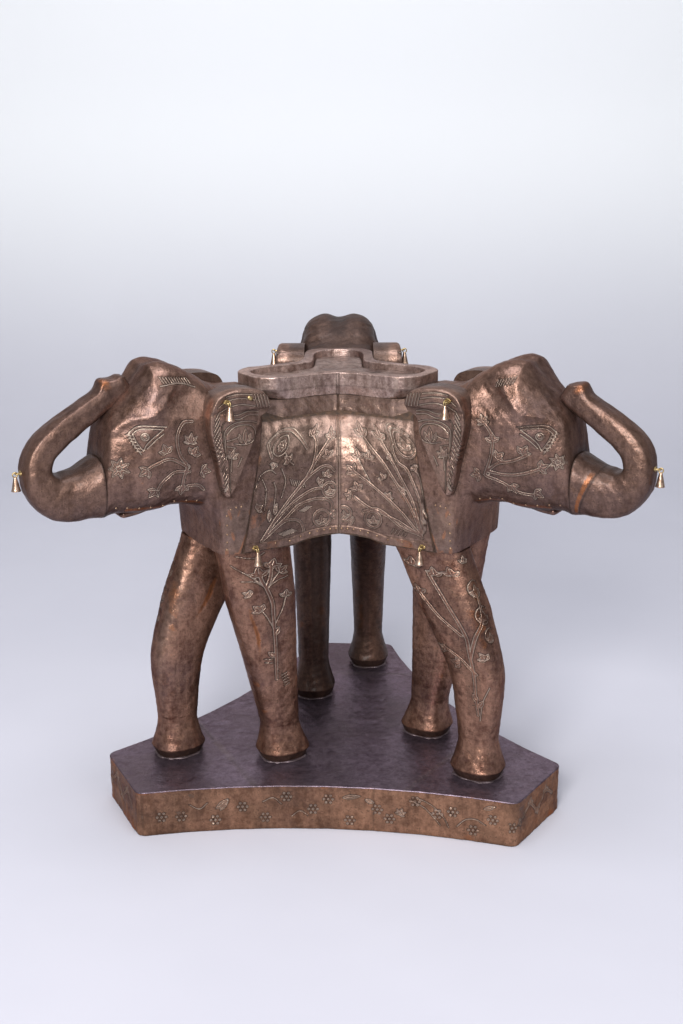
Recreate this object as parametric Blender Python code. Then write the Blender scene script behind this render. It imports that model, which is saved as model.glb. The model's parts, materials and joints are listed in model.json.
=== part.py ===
"""Table base of three elephant foreparts, back to back on a three-armed plinth.

Carved blocks covered with copper sheet. Every elephant is modelled once, facing +X with its left side
towards +Y, and stands three times round the table's axis. Metres, +Z up, origin on the floor at the axis.
"""

import math

import bmesh
import bpy
import numpy as np
from mathutils import Matrix, Vector
from mathutils.bvhtree import BVHTree

# Clearance between pieces that touch
GAP = 0.0003

# Plinth: a triangle with cut-off corners and hollow sides
PLINTH_REACH = 0.239
PLINTH_END_HALF = 0.0485
PLINTH_HOLLOW = 0.0255
PLINTH_CORNER = 0.010
PLINTH_HEIGHT = 0.047
PLINTH_SHEET = 0.0010
BAND_LIFT = 0.0008
PLINTH_TURN = math.radians(-3.8)
PLINTH_SHIFT = (-0.004, -0.007)

# Legs, measured on their sections: half depth runs fore and aft, half breadth across the elephant
LEG_HEIGHT = 0.230
LEG_SIDE = 0.0315
FORWARD_FOOT_REACH = 0.1755
FORWARD_TOP_REACH = 0.1215
FORWARD_KNEE = 0.47
BACK_FOOT_REACH = 0.0865
BACK_TOP_REACH = 0.1155
BACK_KNEE = 0.0
FOOT_HALF_DEPTH = 0.0268
ANKLE_HALF_DEPTH = 0.0192
THIGH_HALF_DEPTH = 0.0420
FOOT_HALF_BREADTH = 0.0240
ANKLE_HALF_BREADTH = 0.0168
THIGH_HALF_BREADTH = 0.0235
SOLE_INSET = 0.0035
LEG_TENON_RADIUS = 0.0095
LEG_TENON_LENGTH = 0.016
LEG_TENON_BACK = 0.0055

# Body block: three round-backed arms
BODY_HALF = 0.0570
BODY_HEIGHT = 0.128
BODY_BLEND = 5.0
BODY_ARM = 0.1375
NECK_LEAN = math.radians(12.0)
ARCH_HALF = 0.046
ARCH_RISE = 0.0075
NECK_TENON_RADIUS = 0.014
NECK_TENON_LENGTH = 0.028

# Flank panels of sheet
PANEL_SHEET = 0.0010
PANEL_BELOW_BACK = 0.020
PANEL_MARGIN = 0.0040
PANEL_HEM_LIFT = 0.0015

# Saddle block and tray
SADDLE_HALF = 0.0335
SADDLE_ARM = 0.096
SADDLE_DEPTH = 0.016
SADDLE_RISE = 0.0105
TRAY_HALF = 0.0350
TRAY_ARM = 0.103
TRAY_END_HALF = 0.019
TRAY_CORNER = 0.016
TRAY_HEIGHT = 0.0215
TRAY_UNDERCUT = 0.008
TRAY_RIM = 0.0100
TRAY_DEPTH = 0.0080
TRAY_BLEND = 7.0

# Head block, from the neck joint to the trunk root
HEAD_LENGTH = 0.1200
NECK_HALF = 0.0575
CROWN_HALF = 0.0495
TRUNK_ROOT_HALF = 0.0290
NECK_OVER_BACK = 0.0235
CROWN_OVER_NECK = 0.0335
JAW_RISE = 0.0470
CHEST_UNDERCUT = 0.045
TRUNK_ROOT_LOW = 0.0415
TRUNK_ROOT_HIGH = 0.1000
DOME_GROOVE = 0.0070
TEMPLE_HOLLOW = 0.0055
LIP_LENGTH = 0.026
LIP_HALF = 0.013
LIP_DROP = 0.0036
TRUNK_TENON_RADIUS = 0.013
TRUNK_TENON_LENGTH = 0.022

# Trunk: a heading that starts a little below level and curls up and back; the left one runs on to the crown
TRUNK_LENGTH = 0.172
LONG_TRUNK_SHARE = 1.11
LONG_TRUNK_CLEAR = 0.003
TRUNK_DIP = math.radians(-18.5)
TRUNK_CURL = math.radians(160.0)
TRUNK_CURL_START = 0.005
TRUNK_CURL_SHARE = 0.651
TRUNK_BEND_THICK = 0.0133
TRUNK_TIP_THICK = 0.0104
TRUNK_BEND_HALF = 0.0175
TRUNK_TIP_HALF = 0.0120
TRUNK_FINGER = 0.0062
TRUNK_FINGER_BACK = 0.012
LONG_TRUNK_FINGER_BACK = 0.019

# Ears: plates with a raised border, seated on the sides of the head
EAR_LENGTH = 0.052
EAR_HEIGHT = 0.098
EAR_BACK = -0.0195
EAR_OVER_NECK = 0.0070
EAR_FACE = 0.0660
EAR_ROOT = 0.0380
EAR_EDGE = 0.0030
EAR_FIELD_DROP = 0.0013

# Bells and the staples they hang in
BELL_LENGTH = 0.0125
BELL_MOUTH = 0.0044
BELL_NECK = 0.0014
BELL_WALL = 0.0008
EYE_RADIUS = 0.0022
WIRE_RADIUS = 0.0006
STAPLE_HALF = 0.0019
STAPLE_REACH = 0.0062
EAR_BELL_AHEAD = 0.016
EAR_BELL_DROP = 0.0095
HEM_BELL_BACK = 0.0120
HEM_BELL_RISE = 0.0045

# How finely round forms are cut into facets
LEG_SIDES = 12
HEAD_SIDES = 16
TRUNK_SIDES = 10
TRUNK_STEPS = 18
EAR_SIDES = 17
TENON_SIDES = 8
BELL_SIDES = 7
ARCH_SIDES = 30

# Heights that everything above the plinth hangs on
SEAT = PLINTH_HEIGHT + LEG_HEIGHT
BODY_TOP = SEAT + BODY_HEIGHT
TRAY_BASE = BODY_TOP + SADDLE_RISE
PANEL_HEIGHT = BODY_HEIGHT - PANEL_BELOW_BACK
NECK_RISE = BODY_HEIGHT + NECK_OVER_BACK
CROWN_RISE = NECK_RISE + CROWN_OVER_NECK
EAR_TOP_RISE = NECK_RISE + EAR_OVER_NECK
NECK_SLOPE = math.tan(NECK_LEAN)
TRUNK_CURL_END = TRUNK_LENGTH * TRUNK_CURL_SHARE

ELEPHANTS = {"rear": math.radians(90), "left": math.radians(210), "right": math.radians(330)}
LONG_TRUNK_BEARER = "left"
THIRD_TURN = math.radians(120)
HALF_THIRD = math.radians(60)


# Shared tools

def clear_scene():
    """Start from an empty file."""
    for item in list(bpy.data.objects):
        bpy.data.objects.remove(item)


def profile(stations, values, at):
    """Smooth curve through a few stations that never swings past its own values."""
    stations = np.asarray(stations, float)
    values = np.asarray(values, float)
    steps = np.diff(stations)
    slopes = np.diff(values) / steps
    tangents = np.zeros(len(values))
    turning = slopes[:-1] * slopes[1:] > 0
    safe = np.where(turning, slopes[:-1] + slopes[1:], 1.0)
    tangents[1:-1] = np.where(turning, 2 * slopes[:-1] * slopes[1:] / safe, 0.0)
    tangents[0] = slopes[0]
    tangents[-1] = slopes[-1]
    span = np.clip(np.searchsorted(stations, at, side="right") - 1, 0, len(steps) - 1)
    t = (at - stations[span]) / steps[span]
    rise = values[span + 1] - values[span]
    start = tangents[span] * steps[span]
    end = tangents[span + 1] * steps[span]
    return values[span] + t * (start + t * ((3 * rise - 2 * start - end) + t * (start + end - 2 * rise)))


def superellipse(sides, power):
    """Unit ring, rounder at power 2 and boxier above it, as two arrays."""
    turn = np.arange(sides) * 2 * math.pi / sides
    across = np.sign(np.cos(turn)) * np.abs(np.cos(turn)) ** (2 / power)
    up = np.sign(np.sin(turn)) * np.abs(np.sin(turn)) ** (2 / power)
    return across, up


def mesh_of(points, faces):
    """Mesh with all its faces turned outwards."""
    mesh = bpy.data.meshes.new("shape")
    mesh.from_pydata([tuple(p) for p in points], [], faces)
    shape = bmesh.new()
    shape.from_mesh(mesh)
    bmesh.ops.recalc_face_normals(shape, faces=shape.faces)
    shape.to_mesh(mesh)
    shape.free()
    return mesh


def loft(rings):
    """Closed solid through a stack of rings with flat ends."""
    sides = len(rings[0])
    faces = []
    for level in range(len(rings) - 1):
        low = level * sides
        for side in range(sides):
            after = (side + 1) % sides
            faces.append((low + side, low + after, low + sides + after))
            faces.append((low + side, low + sides + after, low + sides + side))
    faces.append(tuple(range(sides)))
    top = (len(rings) - 1) * sides
    faces.append(tuple(range(top, top + sides)))
    return mesh_of(np.concatenate(rings), faces)


def prism(outline, low, high):
    """Upright solid between two heights."""
    rings = [np.column_stack([outline, np.full(len(outline), height)]) for height in (low, high)]
    return loft(rings)


def cylinder(radius, start, end, sides=TENON_SIDES):
    """Round bar between two points."""
    start = Vector(start)
    axis = Vector(end) - start
    turn = axis.to_track_quat("Z", "X").to_matrix()
    across, up = superellipse(sides, 2)
    rings = []
    for along in (0.0, axis.length):
        ring = [start + turn @ Vector((radius * x, radius * y, along)) for x, y in zip(across, up)]
        rings.append(np.array(ring))
    return loft(rings)


def boolean(mesh, tool, operation):
    """Mesh after an exact union with, or difference by, another closed mesh."""
    body = bpy.data.objects.new("body", mesh)
    cutter = bpy.data.objects.new("cutter", tool)
    for item in (body, cutter):
        bpy.context.scene.collection.objects.link(item)
    modifier = body.modifiers.new("cut", "BOOLEAN")
    modifier.operation = operation
    modifier.object = cutter
    graph = bpy.context.evaluated_depsgraph_get()
    result = bpy.data.meshes.new_from_object(body.evaluated_get(graph))
    for item in (body, cutter):
        bpy.data.objects.remove(item)
    return result


def trim(mesh, point, normal):
    """Mesh cut flat by a plane, without what lies on the side the normal points to."""
    shape = bmesh.new()
    shape.from_mesh(mesh)
    everything = shape.verts[:] + shape.edges[:] + shape.faces[:]
    cut = bmesh.ops.bisect_plane(shape, geom=everything, plane_co=point, plane_no=normal, clear_outer=True)
    edges = [part for part in cut["geom_cut"] if isinstance(part, bmesh.types.BMEdge)]
    bmesh.ops.edgeloop_fill(shape, edges=edges)
    bmesh.ops.recalc_face_normals(shape, faces=shape.faces)
    result = bpy.data.meshes.new("shape")
    shape.to_mesh(result)
    shape.free()
    return result


def turned(mesh, angle):
    """Copy of a mesh turned about the table's axis."""
    copy = mesh.copy()
    copy.transform(Matrix.Rotation(angle, 4, "Z"))
    return copy


def finish(color, roughness, metallic):
    """Function that gives a piece its own material."""
    def give(name):
        material = bpy.data.materials.new(name + "_finish")
        material.use_nodes = True
        shader = material.node_tree.nodes["Principled BSDF"]
        shader.inputs["Base Color"].default_value = (*color, 1)
        shader.inputs["Roughness"].default_value = roughness
        shader.inputs["Metallic"].default_value = metallic
        return material
    return give


DARK_COPPER = finish((0.085, 0.048, 0.036), 0.42, 0.75)
CHASED_COPPER = finish((0.110, 0.062, 0.045), 0.40, 0.80)
PLINTH_COPPER = finish((0.095, 0.052, 0.034), 0.50, 0.70)
CORE_WOOD = finish((0.160, 0.085, 0.045), 0.80, 0.0)
BELL_METAL = finish((0.420, 0.250, 0.130), 0.35, 0.90)
WIRE_METAL = finish((0.330, 0.240, 0.120), 0.45, 0.90)


def place(name, mesh, material, parent=None, location=(0, 0, 0), heading=0.0):
    """Named object with its own material, smooth where its facets run on."""
    piece = bpy.data.objects.new(name, mesh.copy())
    bpy.context.scene.collection.objects.link(piece)
    piece.data.materials.clear()
    piece.data.materials.append(material(name))
    piece.data.shade_smooth()
    piece.data.set_sharp_from_angle(angle=math.radians(35))
    piece.parent = parent
    piece.location = location
    piece.rotation_euler = (0, 0, heading)
    return piece


# Outlines with three arms

def arm_edge(angle, half, reach, end_half, corner):
    """Distance from the axis to one arm's edge: the nearest of its side, its end and the cut corner."""
    side = np.abs(np.sin(angle)) / half
    ahead = np.cos(angle)
    cut_x = half - end_half
    cut_y = corner
    cut = (cut_x * ahead + cut_y * np.abs(np.sin(angle))) / (cut_x * reach + cut_y * end_half)
    inside = np.maximum(np.maximum(side, ahead / reach), cut)
    return np.where(ahead > 0, 1 / inside, half)


def three_arms(angles, half, reach, end_half, corner, blend):
    """Radius of three arms run together, with hollows between them that get rounder as blend gets lower."""
    total = 0.0
    for turn in range(3):
        away = np.abs((angles - turn * THIRD_TURN + math.pi) % (2 * math.pi) - math.pi)
        total = total + arm_edge(away, half, reach, end_half, corner) ** blend
    return total ** (1 / blend)


def arm_angles(corners, side_steps):
    """Angles round the axis that meet every corner of every arm, with even steps along the hollows."""
    shares = np.arange(1, side_steps + 1) / (side_steps + 0.5)
    half = np.concatenate([corners, corners[-1] + (HALF_THIRD - corners[-1]) * shares])
    one = np.concatenate([-half[::-1], [0.0], half])
    return np.concatenate([one + turn * THIRD_TURN for turn in range(3)])


def tray_outline(grow, reach_grow=None):
    """Tray edge moved outwards by some distance, or by another distance at the arm ends."""
    ends = grow if reach_grow is None else reach_grow
    half = TRAY_HALF + grow
    reach = TRAY_ARM + ends
    end_half = TRAY_END_HALF + grow * (TRAY_END_HALF / TRAY_HALF)
    angles = arm_angles([math.atan2(end_half, reach), math.atan2(half, reach - TRAY_CORNER)], 6)
    radius = three_arms(angles, half, reach, end_half, TRAY_CORNER, TRAY_BLEND)
    return np.column_stack([radius * np.cos(angles), radius * np.sin(angles)])


def saddle_outline(grow):
    """Saddle block edge moved outwards by some distance."""
    half = SADDLE_HALF + grow
    reach = SADDLE_ARM + grow
    end_half = half - TRAY_CORNER / 2
    corner = TRAY_CORNER
    angles = arm_angles([math.atan2(end_half, reach), math.atan2(half, reach - corner)], 6)
    radius = three_arms(angles, half, reach, end_half, corner, TRAY_BLEND)
    return np.column_stack([radius * np.cos(angles), radius * np.sin(angles)])


# Plinth

def rounded(corner_points, radius, steps=3):
    """Outline whose listed corners become arcs; each entry is a point and whether it is a corner."""
    outline = []
    count = len(corner_points)
    for index, (point, is_corner) in enumerate(corner_points):
        if not is_corner:
            outline.append(point)
            continue
        back = corner_points[index - 1][0] - point
        ahead = corner_points[(index + 1) % count][0] - point
        back = back / np.linalg.norm(back)
        ahead = ahead / np.linalg.norm(ahead)
        half_angle = math.acos(float(np.dot(back, ahead))) / 2
        bisector = (back + ahead) / np.linalg.norm(back + ahead)
        centre = point + bisector * radius / math.sin(half_angle)
        first = point + back * radius / math.tan(half_angle) - centre
        last = point + ahead * radius / math.tan(half_angle) - centre
        for share in np.linspace(0, 1, steps + 1):
            arm = first * (1 - share) + last * share
            outline.append(centre + arm / np.linalg.norm(arm) * radius)
    return np.array(outline)


def plinth_outline(inset):
    """Plinth edge moved inwards by some distance."""
    reach = PLINTH_REACH - inset
    end_half = PLINTH_END_HALF - inset * math.tan(math.radians(30))
    corners = []
    for angle in ELEPHANTS.values():
        ahead = np.array([math.cos(angle), math.sin(angle)])
        across = np.array([-ahead[1], ahead[0]])
        corners.append((ahead * reach - across * end_half, ahead * reach + across * end_half))
    points = []
    side_steps = 8
    for index, (right, left) in enumerate(corners):
        following = corners[(index + 1) % 3][0]
        chord = following - left
        inward = np.array([-chord[1], chord[0]]) / np.linalg.norm(chord)
        points.append((right, True))
        points.append((left, True))
        for step in range(1, side_steps):
            share = step / side_steps
            bow = 4 * share * (1 - share) * PLINTH_HOLLOW
            points.append((left + chord * share + inward * bow, False))
    outline = rounded(points, PLINTH_CORNER - inset)
    turn = np.array([[math.cos(PLINTH_TURN), -math.sin(PLINTH_TURN)],
                     [math.sin(PLINTH_TURN), math.cos(PLINTH_TURN)]])
    return outline @ turn.T + np.array(PLINTH_SHIFT)


def ring_wall(outer, inner, low, high):
    """Upright wall between two outlines with as many points each."""
    count = len(outer)
    points = []
    for outline, height in ((outer, low), (outer, high), (inner, high), (inner, low)):
        points.append(np.column_stack([outline, np.full(count, height)]))
    faces = []
    for level in range(4):
        this = level * count
        other = ((level + 1) % 4) * count
        for side in range(count):
            after = (side + 1) % count
            faces.append((this + side, this + after, other + after, other + side))
    return mesh_of(np.concatenate(points), faces)


def build_plinth(sockets):
    """Slab with blind leg sockets, the sheet on top that the tenons pass through, and the edge band."""
    sheet_low = PLINTH_HEIGHT - PLINTH_SHEET
    core = prism(plinth_outline(PLINTH_SHEET + GAP), 0.0, sheet_low - GAP)
    sheet = prism(plinth_outline(0.0), sheet_low, PLINTH_HEIGHT)
    for socket in sockets:
        core = boolean(core, socket, "DIFFERENCE")
        sheet = boolean(sheet, socket, "DIFFERENCE")
    band = ring_wall(plinth_outline(0.0), plinth_outline(PLINTH_SHEET), BAND_LIFT, sheet_low - GAP)
    place("plinth_core", core, CORE_WOOD)
    place("plinth_top_sheet", sheet, PLINTH_COPPER)
    place("plinth_edge_band", band, PLINTH_COPPER)


# Legs

def leg_half(t, foot, ankle, thigh):
    """Half size up the leg: a flared foot, a narrow ankle and a thigh that widens to the body."""
    flare = (foot - ankle) * np.exp(-((t - 0.03) / 0.062) ** 2)
    swell = (thigh - ankle) * np.clip((t - 0.16) / 0.84, 0, 1) ** 1.1
    sole = SOLE_INSET * (t <= 0)
    return ankle + flare + swell - sole


def leg_centre(t, foot_reach, top_reach, knee):
    """Fore and aft place up the leg: upright below the knee, then leaning to its seat."""
    bend = 0.14
    past = (t - knee) / (1 - knee)
    lean = (past + np.sqrt(past ** 2 + bend ** 2)) / (1 + math.sqrt(1 + bend ** 2))
    still = (np.sqrt((knee / (1 - knee)) ** 2 + bend ** 2) - knee / (1 - knee)) / (1 + math.sqrt(1 + bend ** 2))
    share = (lean - still) / (1 - still)
    return foot_reach + (top_reach - foot_reach) * share


def build_leg(foot_reach, top_reach, knee, side):
    """Leg lofted up its bent centre line, with a tenon at each end."""
    levels = np.array([0, 0.03, 0.075, 0.135, 0.21, 0.31, 0.41, 0.51, 0.62, 0.74, 0.87, 1.0])
    low = PLINTH_HEIGHT + GAP
    high = SEAT - GAP
    centre = leg_centre(levels, foot_reach, top_reach, knee)
    depth = leg_half(levels, FOOT_HALF_DEPTH, ANKLE_HALF_DEPTH, THIGH_HALF_DEPTH)
    breadth = leg_half(levels, FOOT_HALF_BREADTH, ANKLE_HALF_BREADTH, THIGH_HALF_BREADTH)
    rings = []
    for index, t in enumerate(levels):
        across, ahead = superellipse(LEG_SIDES, 2.4 + 0.9 * t)
        height = np.full(LEG_SIDES, low + (high - low) * t)
        rings.append(np.column_stack([centre[index] + depth[index] * across, side + breadth[index] * ahead, height]))
    leg = loft(rings)
    inside = LEG_TENON_LENGTH / 2
    foot = cylinder(LEG_TENON_RADIUS, (foot_reach, side, low - LEG_TENON_LENGTH), (foot_reach, side, low + inside))
    seat = top_reach - LEG_TENON_BACK
    top = cylinder(LEG_TENON_RADIUS, (seat, side, high - inside), (seat, side, high + LEG_TENON_LENGTH))
    leg = boolean(leg, foot, "UNION")
    return boolean(leg, top, "UNION")


def leg_socket(reach, side, level, direction):
    """Cutter for the hole that a leg tenon sits in, above or below a seat."""
    open_end = level - direction * LEG_TENON_LENGTH / 2
    closed_end = level + direction * (LEG_TENON_LENGTH + 3 * GAP)
    low = min(open_end, closed_end)
    high = max(open_end, closed_end)
    return cylinder(LEG_TENON_RADIUS + GAP, (reach, side, low), (reach, side, high))


LEGS = {
    "forward_leg": (FORWARD_FOOT_REACH, FORWARD_TOP_REACH, FORWARD_KNEE, -LEG_SIDE),
    "back_leg": (BACK_FOOT_REACH, BACK_TOP_REACH, BACK_KNEE, LEG_SIDE),
}


# Body block and flank panels

BODY_LEVELS = np.array([0.0, 0.22, 0.44, 0.62, 0.74, 0.83, 0.90, 0.955, 1.0])


def body_half(height):
    """Half breadth of an arm at a height above the seat: upright flanks that round over into the back."""
    shares = [-0.1, 0.0, 0.3, 0.60, 0.78, 0.90, 1.0]
    widths = [0.975, 0.98, 1.0, 0.99, 0.915, 0.72, 0.42]
    return BODY_HALF * profile(shares, widths, height / BODY_HEIGHT)


def body_radius(angles, height):
    """Distance from the axis to the body's surface."""
    far = BODY_ARM * 1.4
    half = body_half(height)
    return three_arms(angles, half, far, half, far / 100, BODY_BLEND)


def neck_plane(height):
    """How far out the joint between body and head lies at a height above the seat."""
    return BODY_ARM - NECK_SLOPE * height


def neck_frame():
    """Point on the neck joint and the direction that leaves the body through it."""
    return Vector((BODY_ARM, 0, SEAT)), Vector((math.cos(NECK_LEAN), 0, math.sin(NECK_LEAN)))


def neck_tenon(radius, length, overlap):
    """Bar square to the neck joint, reaching back into the body."""
    point, out = neck_frame()
    middle = point + Vector((-NECK_SLOPE, 0, 1)) * (BODY_HEIGHT * 0.42)
    return cylinder(radius, middle - out * length, middle + out * overlap)


def arch_cutter():
    """Round bar that hollows the belly between two elephants."""
    radius = (ARCH_HALF ** 2 + ARCH_RISE ** 2) / (2 * ARCH_RISE)
    low = SEAT + ARCH_RISE - radius
    start = Vector((0.02, 0, low))
    return cylinder(radius, start, start + Vector((0.2, 0, 0)), sides=ARCH_SIDES)


def build_body(sockets):
    """Three-armed block with belly arches, trimmed at the necks, with pockets for what joins it."""
    angles = arm_angles([math.radians(11), math.radians(22)], 7)
    rings = []
    for share in BODY_LEVELS:
        height = share * BODY_HEIGHT
        radius = body_radius(angles, height)
        level = np.full(len(angles), SEAT + height)
        rings.append(np.column_stack([radius * np.cos(angles), radius * np.sin(angles), level]))
    body = loft(rings)
    point, out = neck_frame()
    for angle in range(3):
        spin = Matrix.Rotation(angle * THIRD_TURN, 3, "Z")
        body = trim(body, spin @ (point - out * GAP / 2), spin @ out)
    for angle in range(3):
        body = boolean(body, turned(arch_cutter(), angle * THIRD_TURN + HALF_THIRD), "DIFFERENCE")
        neck = neck_tenon(NECK_TENON_RADIUS + GAP, NECK_TENON_LENGTH + 2 * GAP, NECK_TENON_LENGTH)
        body = boolean(body, turned(neck, angle * THIRD_TURN), "DIFFERENCE")
    pocket = prism(saddle_outline(GAP), BODY_TOP - SADDLE_DEPTH - GAP, BODY_TOP + SADDLE_DEPTH)
    body = boolean(body, pocket, "DIFFERENCE")
    for socket in sockets:
        body = boolean(body, socket, "DIFFERENCE")
    return body


def flank_point(angle, height, out):
    """Point a distance out from the body's surface, square to it, for an elephant facing +X."""
    step = 0.001
    radius = body_radius(angle, height)
    here = np.stack([radius * np.cos(angle), radius * np.sin(angle), height], axis=-1)
    beside = body_radius(angle + step, height)
    there = np.stack([beside * np.cos(angle + step), beside * np.sin(angle + step), height], axis=-1)
    above = body_radius(angle, height + step)
    over = np.stack([above * np.cos(angle), above * np.sin(angle), height + step], axis=-1)
    normal = np.cross(there - here, over - here)
    normal = normal / np.linalg.norm(normal, axis=-1, keepdims=True)
    return here + normal * out + np.array([0, 0, SEAT])


def belly_height(angle):
    """Height of the belly's edge above the seat, at an angle from the elephant's own axis."""
    aside = body_radius(angle, 0.0) * np.sin(HALF_THIRD - angle)
    radius = (ARCH_HALF ** 2 + ARCH_RISE ** 2) / (2 * ARCH_RISE)
    arch = ARCH_RISE - radius + np.sqrt(np.maximum(radius ** 2 - aside ** 2, 0))
    return np.maximum(arch, 0.0)


def build_panel(mirror):
    """Sheet that covers one flank from the neck joint to the seam midway to the next elephant."""
    columns = 7
    heights = BODY_LEVELS[1:] * BODY_HEIGHT
    heights = heights[heights < PANEL_HEIGHT]
    rows = len(heights) + 2
    across = np.linspace(0, 1, columns)
    grid = np.zeros((rows, columns, 2))
    for row in range(rows):
        for step in range(4):
            height = grid[row, :, 1]
            edge = np.arctan2(body_half(height), neck_plane(height) - PANEL_MARGIN)
            seam = HALF_THIRD - GAP / body_radius(np.array([HALF_THIRD]), 0.0)[0]
            grid[row, :, 0] = edge + (seam - edge) * across
            hem = belly_height(grid[row, :, 0]) + PANEL_HEM_LIFT
            level = PANEL_HEIGHT if row == rows - 1 else heights[max(row - 1, 0)]
            grid[row, :, 1] = hem if row == 0 else level
    sheets = []
    for out in (GAP, GAP + PANEL_SHEET):
        sheets.append(flank_point(grid[..., 0], grid[..., 1], out))
    points = np.concatenate([sheet.reshape(-1, 3) for sheet in sheets])
    points[:, 1] *= mirror
    size = rows * columns
    faces = []
    for row in range(rows - 1):
        for column in range(columns - 1):
            corner = row * columns + column
            quad = (corner, corner + 1, corner + columns + 1, corner + columns)
            faces.append(quad)
            faces.append(tuple(size + index for index in quad))
    rim = list(range(columns))
    rim += [row * columns + columns - 1 for row in range(1, rows)]
    rim += [(rows - 1) * columns + column for column in range(columns - 2, -1, -1)]
    rim += [row * columns for row in range(rows - 2, 0, -1)]
    for index, here in enumerate(rim):
        there = rim[(index + 1) % len(rim)]
        faces.append((here, there, size + there, size + here))
    return mesh_of(points, faces)


# Saddle block and tray

def build_saddle():
    """Block let into the backs, on which the tray rests."""
    return prism(saddle_outline(0.0), BODY_TOP - SADDLE_DEPTH, TRAY_BASE - GAP)


def build_tray():
    """Board with an undercut edge, a raised flat rim and a shallow recess."""
    top = TRAY_BASE + TRAY_HEIGHT
    shelf = TRAY_BASE + TRAY_HEIGHT * 0.42
    steps = [
        (tray_outline(-TRAY_UNDERCUT / 4, -TRAY_UNDERCUT), TRAY_BASE),
        (tray_outline(0.0), shelf),
        (tray_outline(0.0), top),
        (tray_outline(-TRAY_RIM), top),
        (tray_outline(-TRAY_RIM * 1.06), top - TRAY_DEPTH),
    ]
    rings = [np.column_stack([outline, np.full(len(outline), height)]) for outline, height in steps]
    return loft(rings)


# Head, trunk and ears

HEAD_STATIONS = np.array([-0.40, -0.16, 0.0, 0.09, 0.160, 0.185, 0.200, 0.215, 0.26, 0.34, 0.43, 0.52,
                          0.59, 0.65, 0.72, 0.82, 0.91, 0.955, 1.0])


def head_top(share):
    """Top line of the head above the seat: neck, domed crown, steep brow and trunk root."""
    shares = [-0.5, -0.1, 0.07, 0.25, 0.42, 0.52, 0.59, 0.64, 0.72, 0.82, 0.90, 0.95, 1.0]
    neck = NECK_RISE
    crown = CROWN_RISE
    root = TRUNK_ROOT_HIGH
    brow = crown - root
    nape = crown - neck
    heights = [neck - 0.002, neck, neck + 0.17 * nape, neck + 0.59 * nape, neck + 0.92 * nape, crown,
               root + 0.98 * brow, root + 0.89 * brow, root + 0.72 * brow, root + 0.54 * brow, root + 0.39 * brow,
               root + 0.27 * brow, root]
    return profile(shares, heights, share)


def head_bottom(share):
    """Lower line of the head above the seat: chest, throat, jaw and the underside of the trunk root."""
    shares = [-0.5, 0.160, 0.185, 0.200, 0.215, 0.26, 0.48, 0.57, 0.75, 0.90, 1.0]
    jaw = JAW_RISE
    under = -CHEST_UNDERCUT
    heights = [under, under, 0.45 * under, 0.30 * jaw, 0.72 * jaw, 0.92 * jaw, jaw, 0.94 * jaw, 0.91 * jaw,
               0.94 * jaw, TRUNK_ROOT_LOW]
    return profile(shares, heights, share)


def head_half(share):
    """Half breadth of the head: neck, crown and trunk root."""
    shares = [-0.5, 0.0, 0.20, 0.42, 0.60, 0.80, 1.0]
    widths = [NECK_HALF, NECK_HALF, NECK_HALF * 0.25 + CROWN_HALF * 0.75 + 0.001, CROWN_HALF, CROWN_HALF * 0.95,
              CROWN_HALF * 0.3 + TRUNK_ROOT_HALF * 0.7, TRUNK_ROOT_HALF]
    return profile(shares, widths, share)


def head_rings(grow):
    """Rings across the head from behind the neck joint to the trunk root, moved outwards by some distance."""
    rings = []
    for share in HEAD_STATIONS:
        power = 3.4 - 0.8 * max(share, 0.0)
        across, up = superellipse(HEAD_SIDES, power)
        at = np.array([share])
        top = head_top(at)[0]
        low = head_bottom(at)[0]
        half = head_half(at)[0]
        side = across * half
        height = (top + low) / 2 + up * (top - low) / 2
        crown = math.exp(-((share - 0.50) / 0.20) ** 2)
        groove = DOME_GROOVE * crown * np.exp(-(side / (0.24 * half)) ** 2)
        height = height - groove * np.clip(up, 0, 1)
        temple_height = head_top(np.array([0.5]))[0] - 0.032
        hollow = TEMPLE_HOLLOW * math.exp(-((share - 0.40) / 0.16) ** 2)
        hollow = hollow * np.exp(-((height - temple_height) / 0.013) ** 2)
        side = side - np.sign(side) * np.minimum(hollow, np.abs(side))
        out = np.column_stack([across, up])
        out = out / np.linalg.norm(out, axis=1, keepdims=True)
        ahead = np.full(HEAD_SIDES, BODY_ARM + share * HEAD_LENGTH)
        rings.append(np.column_stack([ahead, side + out[:, 0] * grow, SEAT + height + out[:, 1] * grow]))
    return rings


def lip_mesh():
    """Small flat lower lip under the jaw, behind the trunk root."""
    tip = BODY_ARM + HEAD_LENGTH * 0.85
    low = SEAT + head_bottom(np.array([0.80]))[0]
    rings = []
    for share, drop in ((0.0, 0.2), (0.45, 0.75), (1.0, 1.0)):
        across, up = superellipse(8, 4)
        half = LIP_HALF * (0.75 + 0.25 * share)
        ahead = np.full(8, tip - LIP_LENGTH * (1 - share))
        height = low + LIP_DROP * (0.6 - drop) + up * LIP_DROP * 0.9
        rings.append(np.column_stack([ahead, across * half, height]))
    return loft(rings)


def trunk_tenon(grow, overlap):
    """Bar from the trunk root back into the head."""
    end = BODY_ARM + HEAD_LENGTH
    level = SEAT + (TRUNK_ROOT_LOW + TRUNK_ROOT_HIGH) / 2
    back = end - TRUNK_TENON_LENGTH - 2 * grow
    return cylinder(TRUNK_TENON_RADIUS + grow, (back, 0, level), (end + overlap, 0, level))


def build_head():
    """Head block with neck, chest and lip, flat where the body, legs and trunk join it."""
    head = loft(head_rings(0.0))
    head = boolean(head, lip_mesh(), "UNION")
    point, out = neck_frame()
    head = trim(head, point + out * GAP / 2, -out)
    head = trim(head, Vector((0, 0, SEAT)), Vector((0, 0, -1)))
    head = boolean(head, neck_tenon(NECK_TENON_RADIUS, NECK_TENON_LENGTH, NECK_TENON_LENGTH / 2), "UNION")
    return boolean(head, trunk_tenon(GAP, TRUNK_TENON_LENGTH), "DIFFERENCE")


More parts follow.
